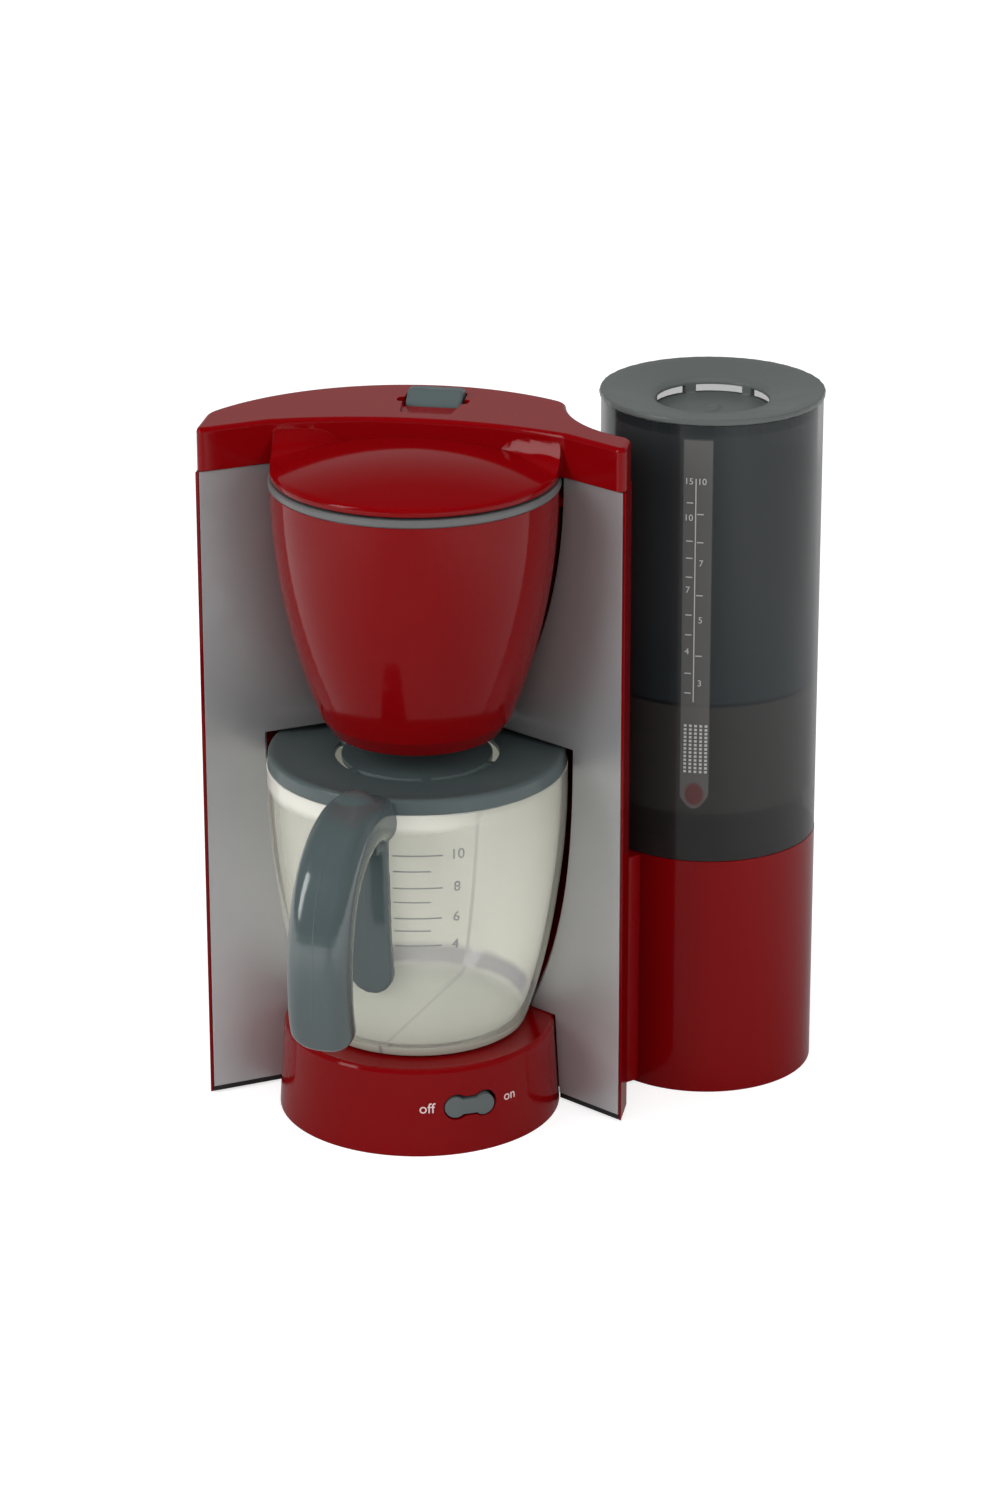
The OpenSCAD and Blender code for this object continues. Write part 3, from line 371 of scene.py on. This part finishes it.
cap_shell = prism("cap_shell", visor_outline(0, visor_low), (0, 0, visor_high - visor_low))
sharp_corners = [(-visor_half, front_y), (visor_half, front_y)]
blunt_corners = [(62, 2.83), (-62, 8.12), (38.2, 34.7)]
for width, spots in ((4.0, sharp_corners), (2.4, blunt_corners)):
    ease(cap_shell, width, 6, lambda a, b: upright(a, b) and min(math.dist(a[:2], c) for c in spots) < 1.3)
ease(cap_shell, 1.4, 5, lambda a, b: a[2] > 207.99 and b[2] > 207.99)
for side in (-1, 1):
    bpy.ops.object.select_all(action="DESELECT")
    bpy.ops.mesh.primitive_grid_add(x_subdivisions=28, y_subdivisions=14, size=1)
    collar = bpy.context.object
    for vertex in collar.data.vertices:
        along, down = vertex.co.x + 0.5, vertex.co.y + 0.5
        edge_x = edge_from + edge_long * along
        edge_y = front_edge(edge_x) + 0.45 + 0.1 * along
        a = math.radians(collar_turn - collar_turn * along)
        foot_x, foot_y = collar_x + collar_r * math.cos(a), collar_y + collar_r * math.sin(a)
        x, y = edge_x + (foot_x - edge_x) * down, edge_y + (foot_y - edge_y) * down
        bulge = bulge_out * along ** 3 * math.sin(math.pi * down)
        x, y = x + bulge, y - 0.2 * bulge
        foot = dome_z(min(math.hypot(foot_x, foot_y), 40.9)) - 0.35 * along ** 6
        z = foot + (collar_top - foot) * (1 - down) ** (cove + cove_end * along * along)
        vertex.co = (brew.x + side * x * mm, brew.y + y * mm, z * mm)
    bpy.ops.object.mode_set(mode="EDIT")
    bpy.ops.mesh.select_all(action="SELECT")
    bpy.ops.mesh.extrude_region_move(TRANSFORM_OT_translate={"value": (0, 0, -20 * mm)})
    bpy.ops.transform.resize(value=(1, 1, 0), center_override=(0, 0, 196.2 * mm))
    bpy.ops.mesh.select_all(action="SELECT")
    bpy.ops.mesh.normals_make_consistent(inside=False)
    bpy.ops.object.mode_set(mode="OBJECT")
    combine(cap_shell, collar, "UNION")
nose = [(hair, visor_low), (40.9, visor_low), (41.35, 195.35), (nose_r, 195.7), (nose_r, 196.5), (41.38, 197.1),
        (41.0, 197.55), (40.4, 197.85)]
nose += [(r, dome_z(r)) for r in (39.4, 37, 34, 30, 26, 22, 18, 14, 10, 6, 3, 1, hair)]
combine(cap_shell, turned("nose", nose), "UNION")
combine(cap_shell, prism("hollow", visor_outline(wall, 190), (0, 0, 16)), "DIFFERENCE")
under_nose = [(hair, 190), (nose_r - wall, 190), (nose_r - wall, 196.5)]
under_nose += [(r, dome_z(r) - wall) for r in (38, 34, 28, 22, 16, 10, 4, hair)]
combine(cap_shell, turned("under_nose", under_nose), "DIFFERENCE")
combine(cap_shell, prism("guide", rounded_box(10.2, 22.6, 40.1, 2.0, guide_foot), (0, 0, 8)), "UNION")
spring_room = [(hair, guide_floor), (4.9, guide_floor), (4.9, 205.6), (hair, 205.6)]
combine(cap_shell, turned("spring_room", spring_room, (0, stem_y), 48), "DIFFERENCE")
combine(cap_shell, prism("stem_hole", rounded_box(2.9, 25.5, 31.3, 2.8, 196), (0, 0, 9.2)), "DIFFERENCE")
combine(cap_shell, prism("well", rounded_box(8.8, 28.0, 38.7, 1.6, guide_floor), (0, 0, 9)), "DIFFERENCE")
pocket_corners = [(7.4, 16.4), (8.8, 28.6), (-8.8, 28.6), (-7.4, 16.4)]
pocket = prism("pocket", [(x, y, pocket_floor) for x, y in pocket_corners], (0, 0, 4))
ease(pocket, 1.4, 4, lambda a, b: upright(a, b) and a[1] < 17)
combine(cap_shell, pocket, "DIFFERENCE")
combine(cap_shell, prism("ears", rounded_box(10.6, 27.4, 32.0, 1.6, pocket_floor), (0, 0, 4)), "DIFFERENCE")
finish(cap_shell, red_styrene, "brewer")
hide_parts("top_cap")

# ---- Press button --------------------------------------------------------------------------
# A slate key in the cap. Its front leans back to a rounded top edge. The stem below carries
# the clip at its end, and its flange rests on the return spring.
slate_styrene = moulded("slate_grey_styrene", (0.068, 0.090, 0.092), 0.35, gloss=0.5)
key_half, key_foot, stem_foot, stem_r = 8.2, 203.2, 198.45, 2.34
flange_r, flange_low, flange_high = 4.5, 204.7, 205.4
key_side = ((28.5, key_foot), (28.5, 206.4), (29.2, 207.6), (33.2, 209.9), (34.2, 210.0), (37.2, 209.9), (38.3, 209.0),
            (38.3, key_foot))
press_key = prism("press_key", [(-key_half, y, z) for y, z in key_side], (2 * key_half, 0, 0))
ease(press_key, 1.0, 4, lambda a, b: abs(a[0]) > 8 and a[0] * b[0] > 0
     and min(a[2], b[2]) > 203.1 and max(a[2], b[2]) > 205)
recess = [(hair, 202), (5.0, 202), (5.0, flange_low), (hair, flange_low)]
combine(press_key, turned("recess", recess, (0, stem_y), 48), "DIFFERENCE")
stem = [(hair, stem_foot), (stem_r, stem_foot), (stem_r, flange_low), (flange_r, flange_low), (flange_r, flange_high),
        (hair, flange_high)]
combine(press_key, turned("stem", stem, (0, stem_y), 48), "UNION")
finish(press_key, slate_styrene, "button", 40)
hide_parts("top_button")


# ---- Silver panels -------------------------------------------------------------------------
# Two plates let into the falling front, lacquered in a satin silver. Their tone is set darker
# towards the top, to stand in for light that falls off upward.
def ruler(tree, origin):
    """Distances in mm from a point, as three sockets."""
    scale = tree.nodes.new("ShaderNodeMapping")
    scale.inputs["Location"].default_value = (-origin[0], -origin[1], -origin[2])
    scale.inputs["Scale"].default_value = (1000, 1000, 1000)
    tree.links.new(tree.nodes.new("ShaderNodeTexCoord").outputs["Object"], scale.inputs["Vector"])
    split = tree.nodes.new("ShaderNodeSeparateXYZ")
    tree.links.new(scale.outputs["Vector"], split.inputs[0])
    return split.outputs


def product(tree, first, *others):
    for other in others:
        first = sums(tree, "MULTIPLY", first, other)
    return first


def layered(tree, layers):
    """Lays colours over the tone, each by its mask and strength, as the material's base colour."""
    colour = tree.nodes["tone"].outputs["Result"]
    for mask, strength, layer in layers:
        mix = tree.nodes.new("ShaderNodeMix")
        mix.data_type = "RGBA"
        tree.links.new(product(tree, mask, strength), mix.inputs["Factor"])
        tree.links.new(colour, mix.inputs["A"])
        mix.inputs["B"].default_value = (*layer, 1)
        colour = mix.outputs["Result"]
    tree.links.new(colour, tree.nodes["Principled BSDF"].inputs["Base Color"])


silver_lacquer = moulded("satin_silver_lacquer", (0.60, 0.60, 0.61), 0.42, peel=0.02, metal=0.62)
dim_silver, full_z, dim_z = (0.36, 0.36, 0.365), 20, 150
tree = silver_lacquer.node_tree
x, y, z = ruler(tree, (0, 0, 0))
layered(tree, [(ramp(tree, z, full_z, dim_z), 1.0, dim_silver)])
for name in ("left_panel", "right_panel"):
    coat(nodes[name], silver_lacquer)

# ---- Filter holder -------------------------------------------------------------------------
# A red goblet slides in from the front on two shelves. A slate insert with a flat rim and a
# slotted basket stands in it, over a small outlet plug.
coat(nodes["filter_holder"], red_styrene)
pale_slate = moulded("pale_slate_styrene", (0.116, 0.117, 0.117), 0.36, gloss=0.4)
coat(nodes["filter_insert"], pale_slate)
coat(nodes["drip_plug"], slate_styrene)

# ---- Switch --------------------------------------------------------------------------------
# A small slate rocker, waisted in the middle, pivots on a steel pin in the drum. Its two
# positions are pad printed beside it in a pale pink.
rocker_styrene = moulded("slate_rocker_styrene", (0.092, 0.106, 0.108), 0.36, gloss=0.5)
coat(nodes["switch_rocker"], rocker_styrene)
print_thick, print_proud = 0.03, 0.05


def ink(name, colour):
    return moulded(name, colour, 0.5, mottle=0.08, peel=0.002, edge=0.02, gloss=0.3)


def wrap(mark, wall_r, axis, angle, height):
    """Bends a flat print, drawn in mm on x and y, round an upright wall of radius wall_r(height)."""
    for vertex in mark.data.vertices:
        x, y, z = vertex.co
        around = math.radians(angle) + x / wall_r(height)
        r = wall_r(height + y) + print_proud + z
        vertex.co = ((axis[0] + r * math.sin(around)) * mm, (axis[1] - r * math.cos(around)) * mm, (height + y) * mm)


def words(text, size, thick=print_thick):
    bpy.ops.object.select_all(action="DESELECT")
    bpy.ops.object.text_add(location=(0, 0, 0))
    letters = bpy.context.object
    letters.data.body = text
    letters.data.size = size
    letters.data.resolution_u = 4
    letters.data.extrude = thick
    letters.data.align_x = "CENTER"
    letters.data.align_y = "CENTER"
    bpy.ops.object.convert(target="MESH")
    letters = bpy.context.object
    bpy.ops.object.mode_set(mode="EDIT")
    bpy.ops.mesh.select_all(action="SELECT")
    bpy.ops.mesh.remove_doubles(threshold=0.001)
    bpy.ops.mesh.normals_make_consistent(inside=False)
    bpy.ops.object.mode_set(mode="OBJECT")
    return letters


def bar(length, height, parts=1):
    """A flat stroke from x = 0, in as many parts as it needs to follow a curve."""
    bpy.ops.object.select_all(action="DESELECT")
    bpy.ops.mesh.primitive_grid_add(x_subdivisions=parts, y_subdivisions=max(1, round(height / 2)), size=1)
    stroke = bpy.context.object
    for vertex in stroke.data.vertices:
        vertex.co = ((vertex.co.x + 0.5) * length, vertex.co.y * height, -print_thick)
    bpy.ops.object.mode_set(mode="EDIT")
    bpy.ops.mesh.select_all(action="SELECT")
    bpy.ops.mesh.extrude_region_move(TRANSFORM_OT_translate={"value": (0, 0, 2 * print_thick)})
    bpy.ops.mesh.select_all(action="SELECT")
    bpy.ops.mesh.normals_make_consistent(inside=False)
    bpy.ops.object.mode_set(mode="OBJECT")
    return stroke


def gathered(name, marks, stuff, body):
    """Joins the marks of one print into one piece."""
    alone(marks[0])
    for mark in marks:
        mark.select_set(True)
    bpy.ops.object.join()
    piece = bpy.context.object
    piece.name = name
    coat(piece, stuff)
    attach(piece, body)


hub = (brew.x / mm, brew.y / mm)
drum_r, drum_taper, drum_tall, words_z = 41.7, 1.6, 26.7, 14.8


def drum_wall(z):
    return drum_r - drum_taper * z / drum_tall


switch_words = []
for word, size, angle in (("off", 4.4, 13.5), ("on", 4.2, 50.5)):
    switch_words.append(words(word, size))
    wrap(switch_words[-1], drum_wall, hub, angle, words_z)
gathered("switch_words", switch_words, ink("pale_pink_ink", (0.72, 0.58, 0.58)), "brewer")

# ---- Jug -----------------------------------------------------------------------------------
# A clear styrene jug, milky at the back, with a seam down its back wall and across its floor.
# The grey floor is a tone laid on the wall. The violet band above it is painted shade in the
# corner of floor and wall, and the pale band round the front of the rim is a painted highlight.
# The cup scale is printed in grey on the front.
jug_foot, jug_rim, lip_top = 27.9, 107.3, 108.9
rim_r, foot_narrower, wall_drop, flare_r = 43.1, 11.6, 80.4, 0.9
wall_thick, floor_top, seam_half = 1.8, 29.3, 0.55
back_across, floor_across = (0.9613, -0.2756, 0), (0.9729, -0.2311, 9.3 * 0.9729 - 30.7 * 0.2311)
scale_from, long_end, short_end, number_at = 1.2, 19.9, 15.4, 25.6
stroke_high, figure_size = 0.42, 4.4


def jug_wall(z):
    flare = min(1, max(0, (z - 60) / 40))
    return rim_r - foot_narrower * (max(0, jug_rim - z) / wall_drop) ** 2.5 + flare_r * flare * flare * (3 - 2 * flare)


def seam(tree, x, y, across, half_width):
    """1 on the plane across[0] * x + across[1] * y = across[2], 0 away from it."""
    line = sums(tree, "MULTIPLY_ADD", x, across[0], sums(tree, "MULTIPLY_ADD", y, across[1], -across[2]))
    return ramp(tree, sums(tree, "ABSOLUTE", line), half_width * 1.4, half_width * 0.6)


milky = moulded("milky_clear_styrene", (0.96, 0.965, 0.85), 0.09, mottle=0.03, peel=0.01, edge=0.3, gloss=0.6)
tree = milky.node_tree
x, y, z = ruler(tree, (*hub, 0))
wobble = sums(tree, "MULTIPLY_ADD", noise(tree, tree.nodes["Texture Coordinate"].outputs["Object"], 70, 2), 4.0, -2.0)
floor_zone = ramp(tree, z, 31.2, 29.6)
# A painted highlight: a pale band round the front of the rim, strongest at the left.
highlight_height = sums(tree, "ADD", z, product(tree, wobble, 0.6))
rim_highlight = product(tree, ramp(tree, highlight_height, 99.4, 104.2), ramp(tree, y, 6, -10), ramp(tree, x, 4, 30, 1.0, 0.35))
# Painted shade: a violet band with a wavy edge where the floor meets the wall at the back.
corner_shade_height = sums(tree, "ADD", z, product(tree, wobble, 0.5))
corner_shade = product(tree, ramp(tree, corner_shade_height, 29.6, 31.6), ramp(tree, corner_shade_height, 37.2, 34.2),
                    ramp(tree, y, 2, 14))
back_seam = product(tree, seam(tree, x, y, back_across, seam_half), ramp(tree, y, 10, 12))
floor_seam = product(tree, seam(tree, x, y, floor_across, seam_half), ramp(tree, z, 30.6, 30.2))
facing = tree.nodes.new("ShaderNodeLayerWeight")
facing.inputs["Blend"].default_value = 0.35
glass_edge = ramp(tree, facing.outputs["Facing"], 0.45, 0.95)
layered(tree, [
    (floor_zone, 0.85, (0.38, 0.40, 0.34)),
    # painted shade in the corner of floor and wall
    (corner_shade, 0.95, (0.14, 0.115, 0.22)),
    (back_seam, 0.8, (0.36, 0.36, 0.38)),
    (floor_seam, 0.8, (0.24, 0.25, 0.24)),
    # painted highlight below the rim, which also makes the wall less clear there
    (rim_highlight, 0.8, (0.95, 0.93, 0.85)),
    (glass_edge, 0.5, (0.52, 0.49, 0.47)),
])
cover = ramp(tree, y, -6, 14, 0.24, 0.97)
for zone, share in ((floor_zone, 0.9), (rim_highlight, 0.7), (glass_edge, 0.6)):
    cover = sums(tree, "MAXIMUM", cover, product(tree, zone, share))
tree.links.new(cover, tree.nodes["Principled BSDF"].inputs["Alpha"])
steps = [jug_foot + (jug_rim - jug_foot) * i / 34 for i in range(35)]
outside = [(hair, 27.7), (25.6, 27.7), (26.0, 27.5), (26.2, 26.9), (30.0, 26.9), (31.0, 27.2)]
outside += [(jug_wall(z), z) for z in steps]
neck = [(43.6, 107.6), (42.1, 107.6), (42.1, lip_top), (40.4, lip_top), (40.4, 106.2)]
inside = [(jug_wall(z) - wall_thick, z) for z in reversed(steps) if 33 < z < 105]
inside += [(jug_wall(31) - 2.3, 31.0), (jug_wall(30) - 3.6, 29.7), (jug_wall(floor_top) - 5.4, floor_top)]
inside += [(12, floor_top), (hair, floor_top)]
jug_cup = turned("jug_cup", outside + neck + inside)
finish(jug_cup, milky, "jug", 40)
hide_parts("jug_body")
marks = []
for i, height in enumerate((95.3, 90.4, 85.1, 80.6, 75.4, 71.3, 66.4)):
    end = short_end if i % 2 else long_end
    marks.append(bar(math.radians(end - scale_from) * jug_wall(height), stroke_high, parts=12))
    wrap(marks[-1], jug_wall, hub, scale_from, height)
for height, number in ((95.3, "10"), (85.1, "8"), (75.4, "6"), (66.4, "4")):
    marks.append(words(number, figure_size))
    wrap(marks[-1], jug_wall, hub, number_at, height)
gathered("jug_cup_scale", marks, ink("cup_scale_ink", (0.27, 0.28, 0.28)), "jug")

# ---- Jug lid -------------------------------------------------------------------------------
# A slate disc with a dished middle and a skirt that drops into the jug's neck. Six curved
# slits round the dish let the water through.
lid_side = [(hair, 108.9), (38.75, 108.9), (38.75, 105.5), (39.85, 105.5), (40.15, 105.9), (40.15, 108.9),
            (42.2, 108.9), (42.2, 107.4), (43.5, 107.4), (43.7, 107.7), (43.4, 111.0), (43.2, 111.5), (42.8, 111.85),
            (42.2, 112.0), (41.2, 111.9), (38.7, 111.3), (34.0, 110.8), (24.4, 110.35), (hair, 110.3)]
slit_in, slit_out, slit_low, slit_high = 22.0, 24.0, 104, 114


def spoke(name, centre, degrees, reach, half_long, half_wide, low, tall):
    """A block that lies along a spoke round an upright axis."""
    a = math.radians(degrees)
    corners = []
    for i, j in ((-1, -1), (1, -1), (1, 1), (-1, 1)):
        p, q = reach + half_long * i, half_wide * j
        corners.append((centre[0] + math.cos(a) * p - math.sin(a) * q,
                        centre[1] + math.sin(a) * p + math.cos(a) * q, low))
    return prism(name, corners, (0, 0, tall))


jug_cover = turned("jug_cover", lid_side)
slit_ring = [(slit_in, slit_low), (slit_out, slit_low), (slit_out, slit_high), (slit_in, slit_high)]
slits = turned("slit", slit_ring + slit_ring[:1], sides=120)
for step in range(6):
    bridge = spoke("bridge", (0, 0), 60 * step - 13, reach=23, half_long=4, half_wide=1.1, low=103, tall=12)
    combine(slits, bridge, "DIFFERENCE")
combine(jug_cover, slits, "DIFFERENCE")
finish(jug_cover, slate_styrene, "jug", 30)
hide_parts("jug_lid")

# ---- Jug handle ----------------------------------------------------------------------------
# One slate moulding: a hollow-backed leg glued to the wall and a fat grip that arches over it
# from the thumb rest. A fine mould line runs down the middle of the grip.
grip_out, grip_side, grip_half = (-0.1478, -0.989), (0.989, -0.1478), 8.9
tip_z, tip_from, tip_out = 48.0, 64.0, 60
tip_shorter, tip_slant = 3.4, 3.2


def merged_copy(name, node):
    """A copy of a solid's mesh with its loose triangles sewn together."""
    piece = bpy.data.objects.new(name, nodes[node].data.copy())
    bpy.context.scene.collection.objects.link(piece)
    alone(piece)
    bpy.ops.object.mode_set(mode="EDIT")
    bpy.ops.mesh.select_all(action="SELECT")
    bpy.ops.mesh.remove_doubles(threshold=0.000002)
    bpy.ops.mesh.delete_loose()
    bpy.ops.object.mode_set(mode="OBJECT")
    return piece


grip_styrene = moulded("slate_grip_styrene", (0.062, 0.084, 0.086), 0.15, gloss=0.8)
tree = grip_styrene.node_tree
x, y, z = ruler(tree, (*hub, 0))
mould_line = tree.nodes.new("ShaderNodeBump")
mould_line.inputs["Strength"].default_value = 0.6
mould_line.inputs["Distance"].default_value = 0.12 * mm
tree.links.new(seam(tree, x, y, (*grip_side, 0), 0.16), mould_line.inputs["Height"])
tree.links.new(tree.nodes["Bevel"].outputs["Normal"], mould_line.inputs["Normal"])
tree.links.new(mould_line.outputs["Normal"], tree.nodes["Bump"].inputs["Normal"])
jug_grip = merged_copy("jug_grip", "jug_handle")
skinned = jug_grip.modifiers.new("even_skin", "REMESH")
skinned.mode = "VOXEL"
skinned.voxel_size = 0.42 * mm
bpy.ops.object.modifier_apply(modifier=skinned.name)
blend = jug_grip.modifiers.new("soft_edges", "SMOOTH")
blend.factor = 0.5
blend.iterations = 14
bpy.ops.object.modifier_apply(modifier=blend.name)
for vertex in jug_grip.data.vertices:
    px, py, pz = vertex.co.x / mm - hub[0], vertex.co.y / mm - hub[1], vertex.co.z / mm
    if px * grip_out[0] + py * grip_out[1] > tip_out and pz < tip_from:
        sink = (tip_from - pz) / (tip_from - tip_z)
        aside = max(0, -(px * grip_side[0] + py * grip_side[1])) / grip_half
        vertex.co.z += (tip_shorter * sink ** 2 + tip_slant * sink ** 2 * aside ** 2) * mm
bpy.ops.object.shade_smooth()
coat(jug_grip, grip_styrene)
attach(jug_grip, "jug")
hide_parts("jug_handle")

# ---- Water tank ----------------------------------------------------------------------------
# A tall cup in smoke grey clear styrene with a step at its floor. A paler sight strip on the
# front carries a printed double scale and a dot field.
tank_lo, tank_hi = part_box("water_tank")
tank_hub = ((tank_lo.x + tank_hi.x) / 2 / mm, (tank_lo.y + tank_hi.y) / 2 / mm)
tank_r, step_z, spigot_z, strip_x = 32.35, 123.1, 89.5, 0.2
spot_z, spot_squat = 95.6, 0.8
scale_at, scale_top, scale_step = -0.9, 194.8, 0.3035
spine_long, tick_long, print_wide = 68, 1.9, 0.3
left_tick, right_tick, number_off, number_size = -2.5, 0.6, 1.9, 2.7
dots_at, dot_turn, dots_top, dot_drop, dot_long, dot_high = -5.3, 2.7, 117, 1.19, 0.8, 0.7


def tank_wall(z):
    return tank_r


def mark_z(step):
    """The height of a mark, counted down in steps from the top of the scale."""
    return scale_top - scale_step * step


def squared(tree, value):
    return sums(tree, "POWER", sums(tree, "ABSOLUTE", value), 2.0)


smoke = moulded("smoke_clear_styrene", (0.021, 0.026, 0.027), 0.14, mottle=0.06, peel=0.001, gloss=0.34)
tree = smoke.node_tree
x, y, z = ruler(tree, (*tank_hub, 0))
off_strip = sums(tree, "ADD", x, -strip_x)
front = ramp(tree, y, -20, -24)
strip_side = ramp(tree, sums(tree, "ABSOLUTE", off_strip), 4.5, 3.9)
strip_low = ramp(tree, sums(tree, "ADD", z, product(tree, squared(tree, x), -0.22)), 90.6, 91.8)
strip = product(tree, strip_side, front, strip_low, ramp(tree, z, 204.4, 203.4))
step_line = product(tree, ramp(tree, z, step_z - 0.6, step_z), ramp(tree, z, step_z + 1.0, step_z + 0.4))
spot_off = sums(tree, "MULTIPLY_ADD", z, spot_squat, -spot_z * spot_squat)
spot_r = sums(tree, "SQRT", sums(tree, "ADD", squared(tree, off_strip), squared(tree, spot_off)))
layered(tree, [
    (ramp(tree, z, 165, 125), 0.55, (0.015, 0.023, 0.027)),
    (ramp(tree, z, step_z + 0.3, step_z - 0.3), 1.0, (0.030, 0.030, 0.029)),
    (ramp(tree, z, spigot_z + 1, spigot_z - 1), 1.0, (0.018, 0.017, 0.017)),
    (step_line, 1.0, (0.008, 0.011, 0.013)),
    (ramp(tree, z, 204, 207), 0.7, (0.010, 0.014, 0.015)),
    (strip, 0.52, (0.175, 0.170, 0.160)),
    (product(tree, ramp(tree, spot_r, 3.4, 2.2), front), 0.8, (0.11, 0.022, 0.024)),
])
open_back = product(tree, ramp(tree, z, 176, 200), ramp(tree, y, 2, 14))
tree.links.new(ramp(tree, open_back, 0.0, 1.0, 0.86, 0.35), tree.nodes["Principled BSDF"].inputs["Alpha"])
coat(nodes["water_tank"], smoke)
marks = [bar(print_wide, spine_long)]
wrap(marks[0], tank_wall, tank_hub, scale_at, mark_z(120))
left_ticks, right_ticks = (32, 70, 87, 106, 144, 164, 203, 223), (43, 71, 124, 185)
for offset, steps in ((left_tick, left_ticks), (right_tick, right_ticks)):
    for step in steps:
        marks.append(bar(tick_long, print_wide, parts=2))
        wrap(marks[-1], tank_wall, tank_hub, scale_at + math.degrees(offset / tank_r), mark_z(step))
left_numbers = ((11, "15"), (47, "10"), (119, "7"), (181, "4"))
right_numbers = ((11, "10"), (92, "7"), (149, "5"), (213, "3"))
for offset, numbers in ((-number_off, left_numbers), (number_off, right_numbers)):
    for step, number in numbers:
        marks.append(words(number, number_size, thick=0.02))
        wrap(marks[-1], tank_wall, tank_hub, scale_at + math.degrees(offset / tank_r), mark_z(step))
for column in range(5):
    for line in range(13):
        marks.append(bar(dot_long, dot_high))
        wrap(marks[-1], tank_wall, tank_hub, dots_at + dot_turn * column, dots_top - dot_drop * line)
gathered("tank_sight_scale", marks, ink("sight_scale_ink", (0.46, 0.47, 0.47)), "tank")

# ---- Tank lid ------------------------------------------------------------------------------
# A slate lid with a deep filling recess and a skirt that drops into the tank. Six windows in
# the recess wall open into the tank.
lid_styrene = moulded("slate_lid_styrene", (0.092, 0.105, 0.099), 0.36, gloss=0.45)
lid_hub = (tank_hub[0] - hub[0], tank_hub[1] - hub[1])
lid_side = [(hair, 202.6), (17.4, 202.6), (17.7, 202.9), (17.7, 206.2), (29.2, 207.7), (29.2, 204.3), (30.65, 204.3),
            (30.65, 208.3), (32.6, 208.3), (32.8, 208.6), (32.8, 209.5), (32.6, 209.9), (32.1, 210.0), (29.0, 209.7),
            (19.0, 208.1), (18.1, 207.9), (17.2, 207.5), (16.6, 206.9), (16.5, 206.2), (16.5, 204.4), (15.8, 203.8),
            (3.2, 203.8), (2.6, 204.0), (2.0, 204.5), (1.2, 204.7), (hair, 204.7)]
tank_cover = turned("tank_cover", lid_side, lid_hub, 120)
for step in range(6):
    window = spoke("window", lid_hub, 60 * step + 30, reach=17, half_long=3, half_wide=6.9, low=203.9, tall=2.3)
    combine(tank_cover, window, "DIFFERENCE")
finish(tank_cover, lid_styrene, "lid", 30)
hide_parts("tank_lid")

# ---- Base plate and button clip ------------------------------------------------------------
# Plain black styrene: the plate closes the body from below and is screwed on, the clip is
# pressed on the end of the key's stem.
black_styrene = moulded("black_styrene", (0.012, 0.012, 0.013), 0.45)
for name in ("base_plate", "button_clip"):
    coat(nodes[name], black_styrene)

# ---- Screws, spring and axle ---------------------------------------------------------------
# Zinc plated cross-head screws and a steel pin. A steel spring round the key's stem stands on
# the floor of its guide, at its length with the key up.
zinc_steel = moulded("zinc_steel", (0.55, 0.55, 0.56), 0.2, metal=1.0)
for name in ("cover_screws", "plate_screws", "cap_screws", "housing_screws", "switch_axle"):
    coat(nodes[name], zinc_steel)
spring_foot, spring_tall, spring_slim, key_stroke = 200.25, 4.4, 0.9, 2.5
foot = (brew.x, brew.y + stem_y * mm, spring_foot * mm)
solid_tall = (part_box("button_spring")[1].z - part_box("button_spring")[0].z) / mm
key_spring = merged_copy("key_spring", "button_spring")
bpy.ops.object.mode_set(mode="EDIT")
bpy.ops.mesh.select_all(action="SELECT")
bpy.ops.transform.resize(value=(spring_slim, spring_slim, spring_tall / solid_tall), center_override=foot)
bpy.ops.object.mode_set(mode="OBJECT")
finish(key_spring, zinc_steel, "brewer", 60)
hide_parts("button_spring")
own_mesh(key_spring)
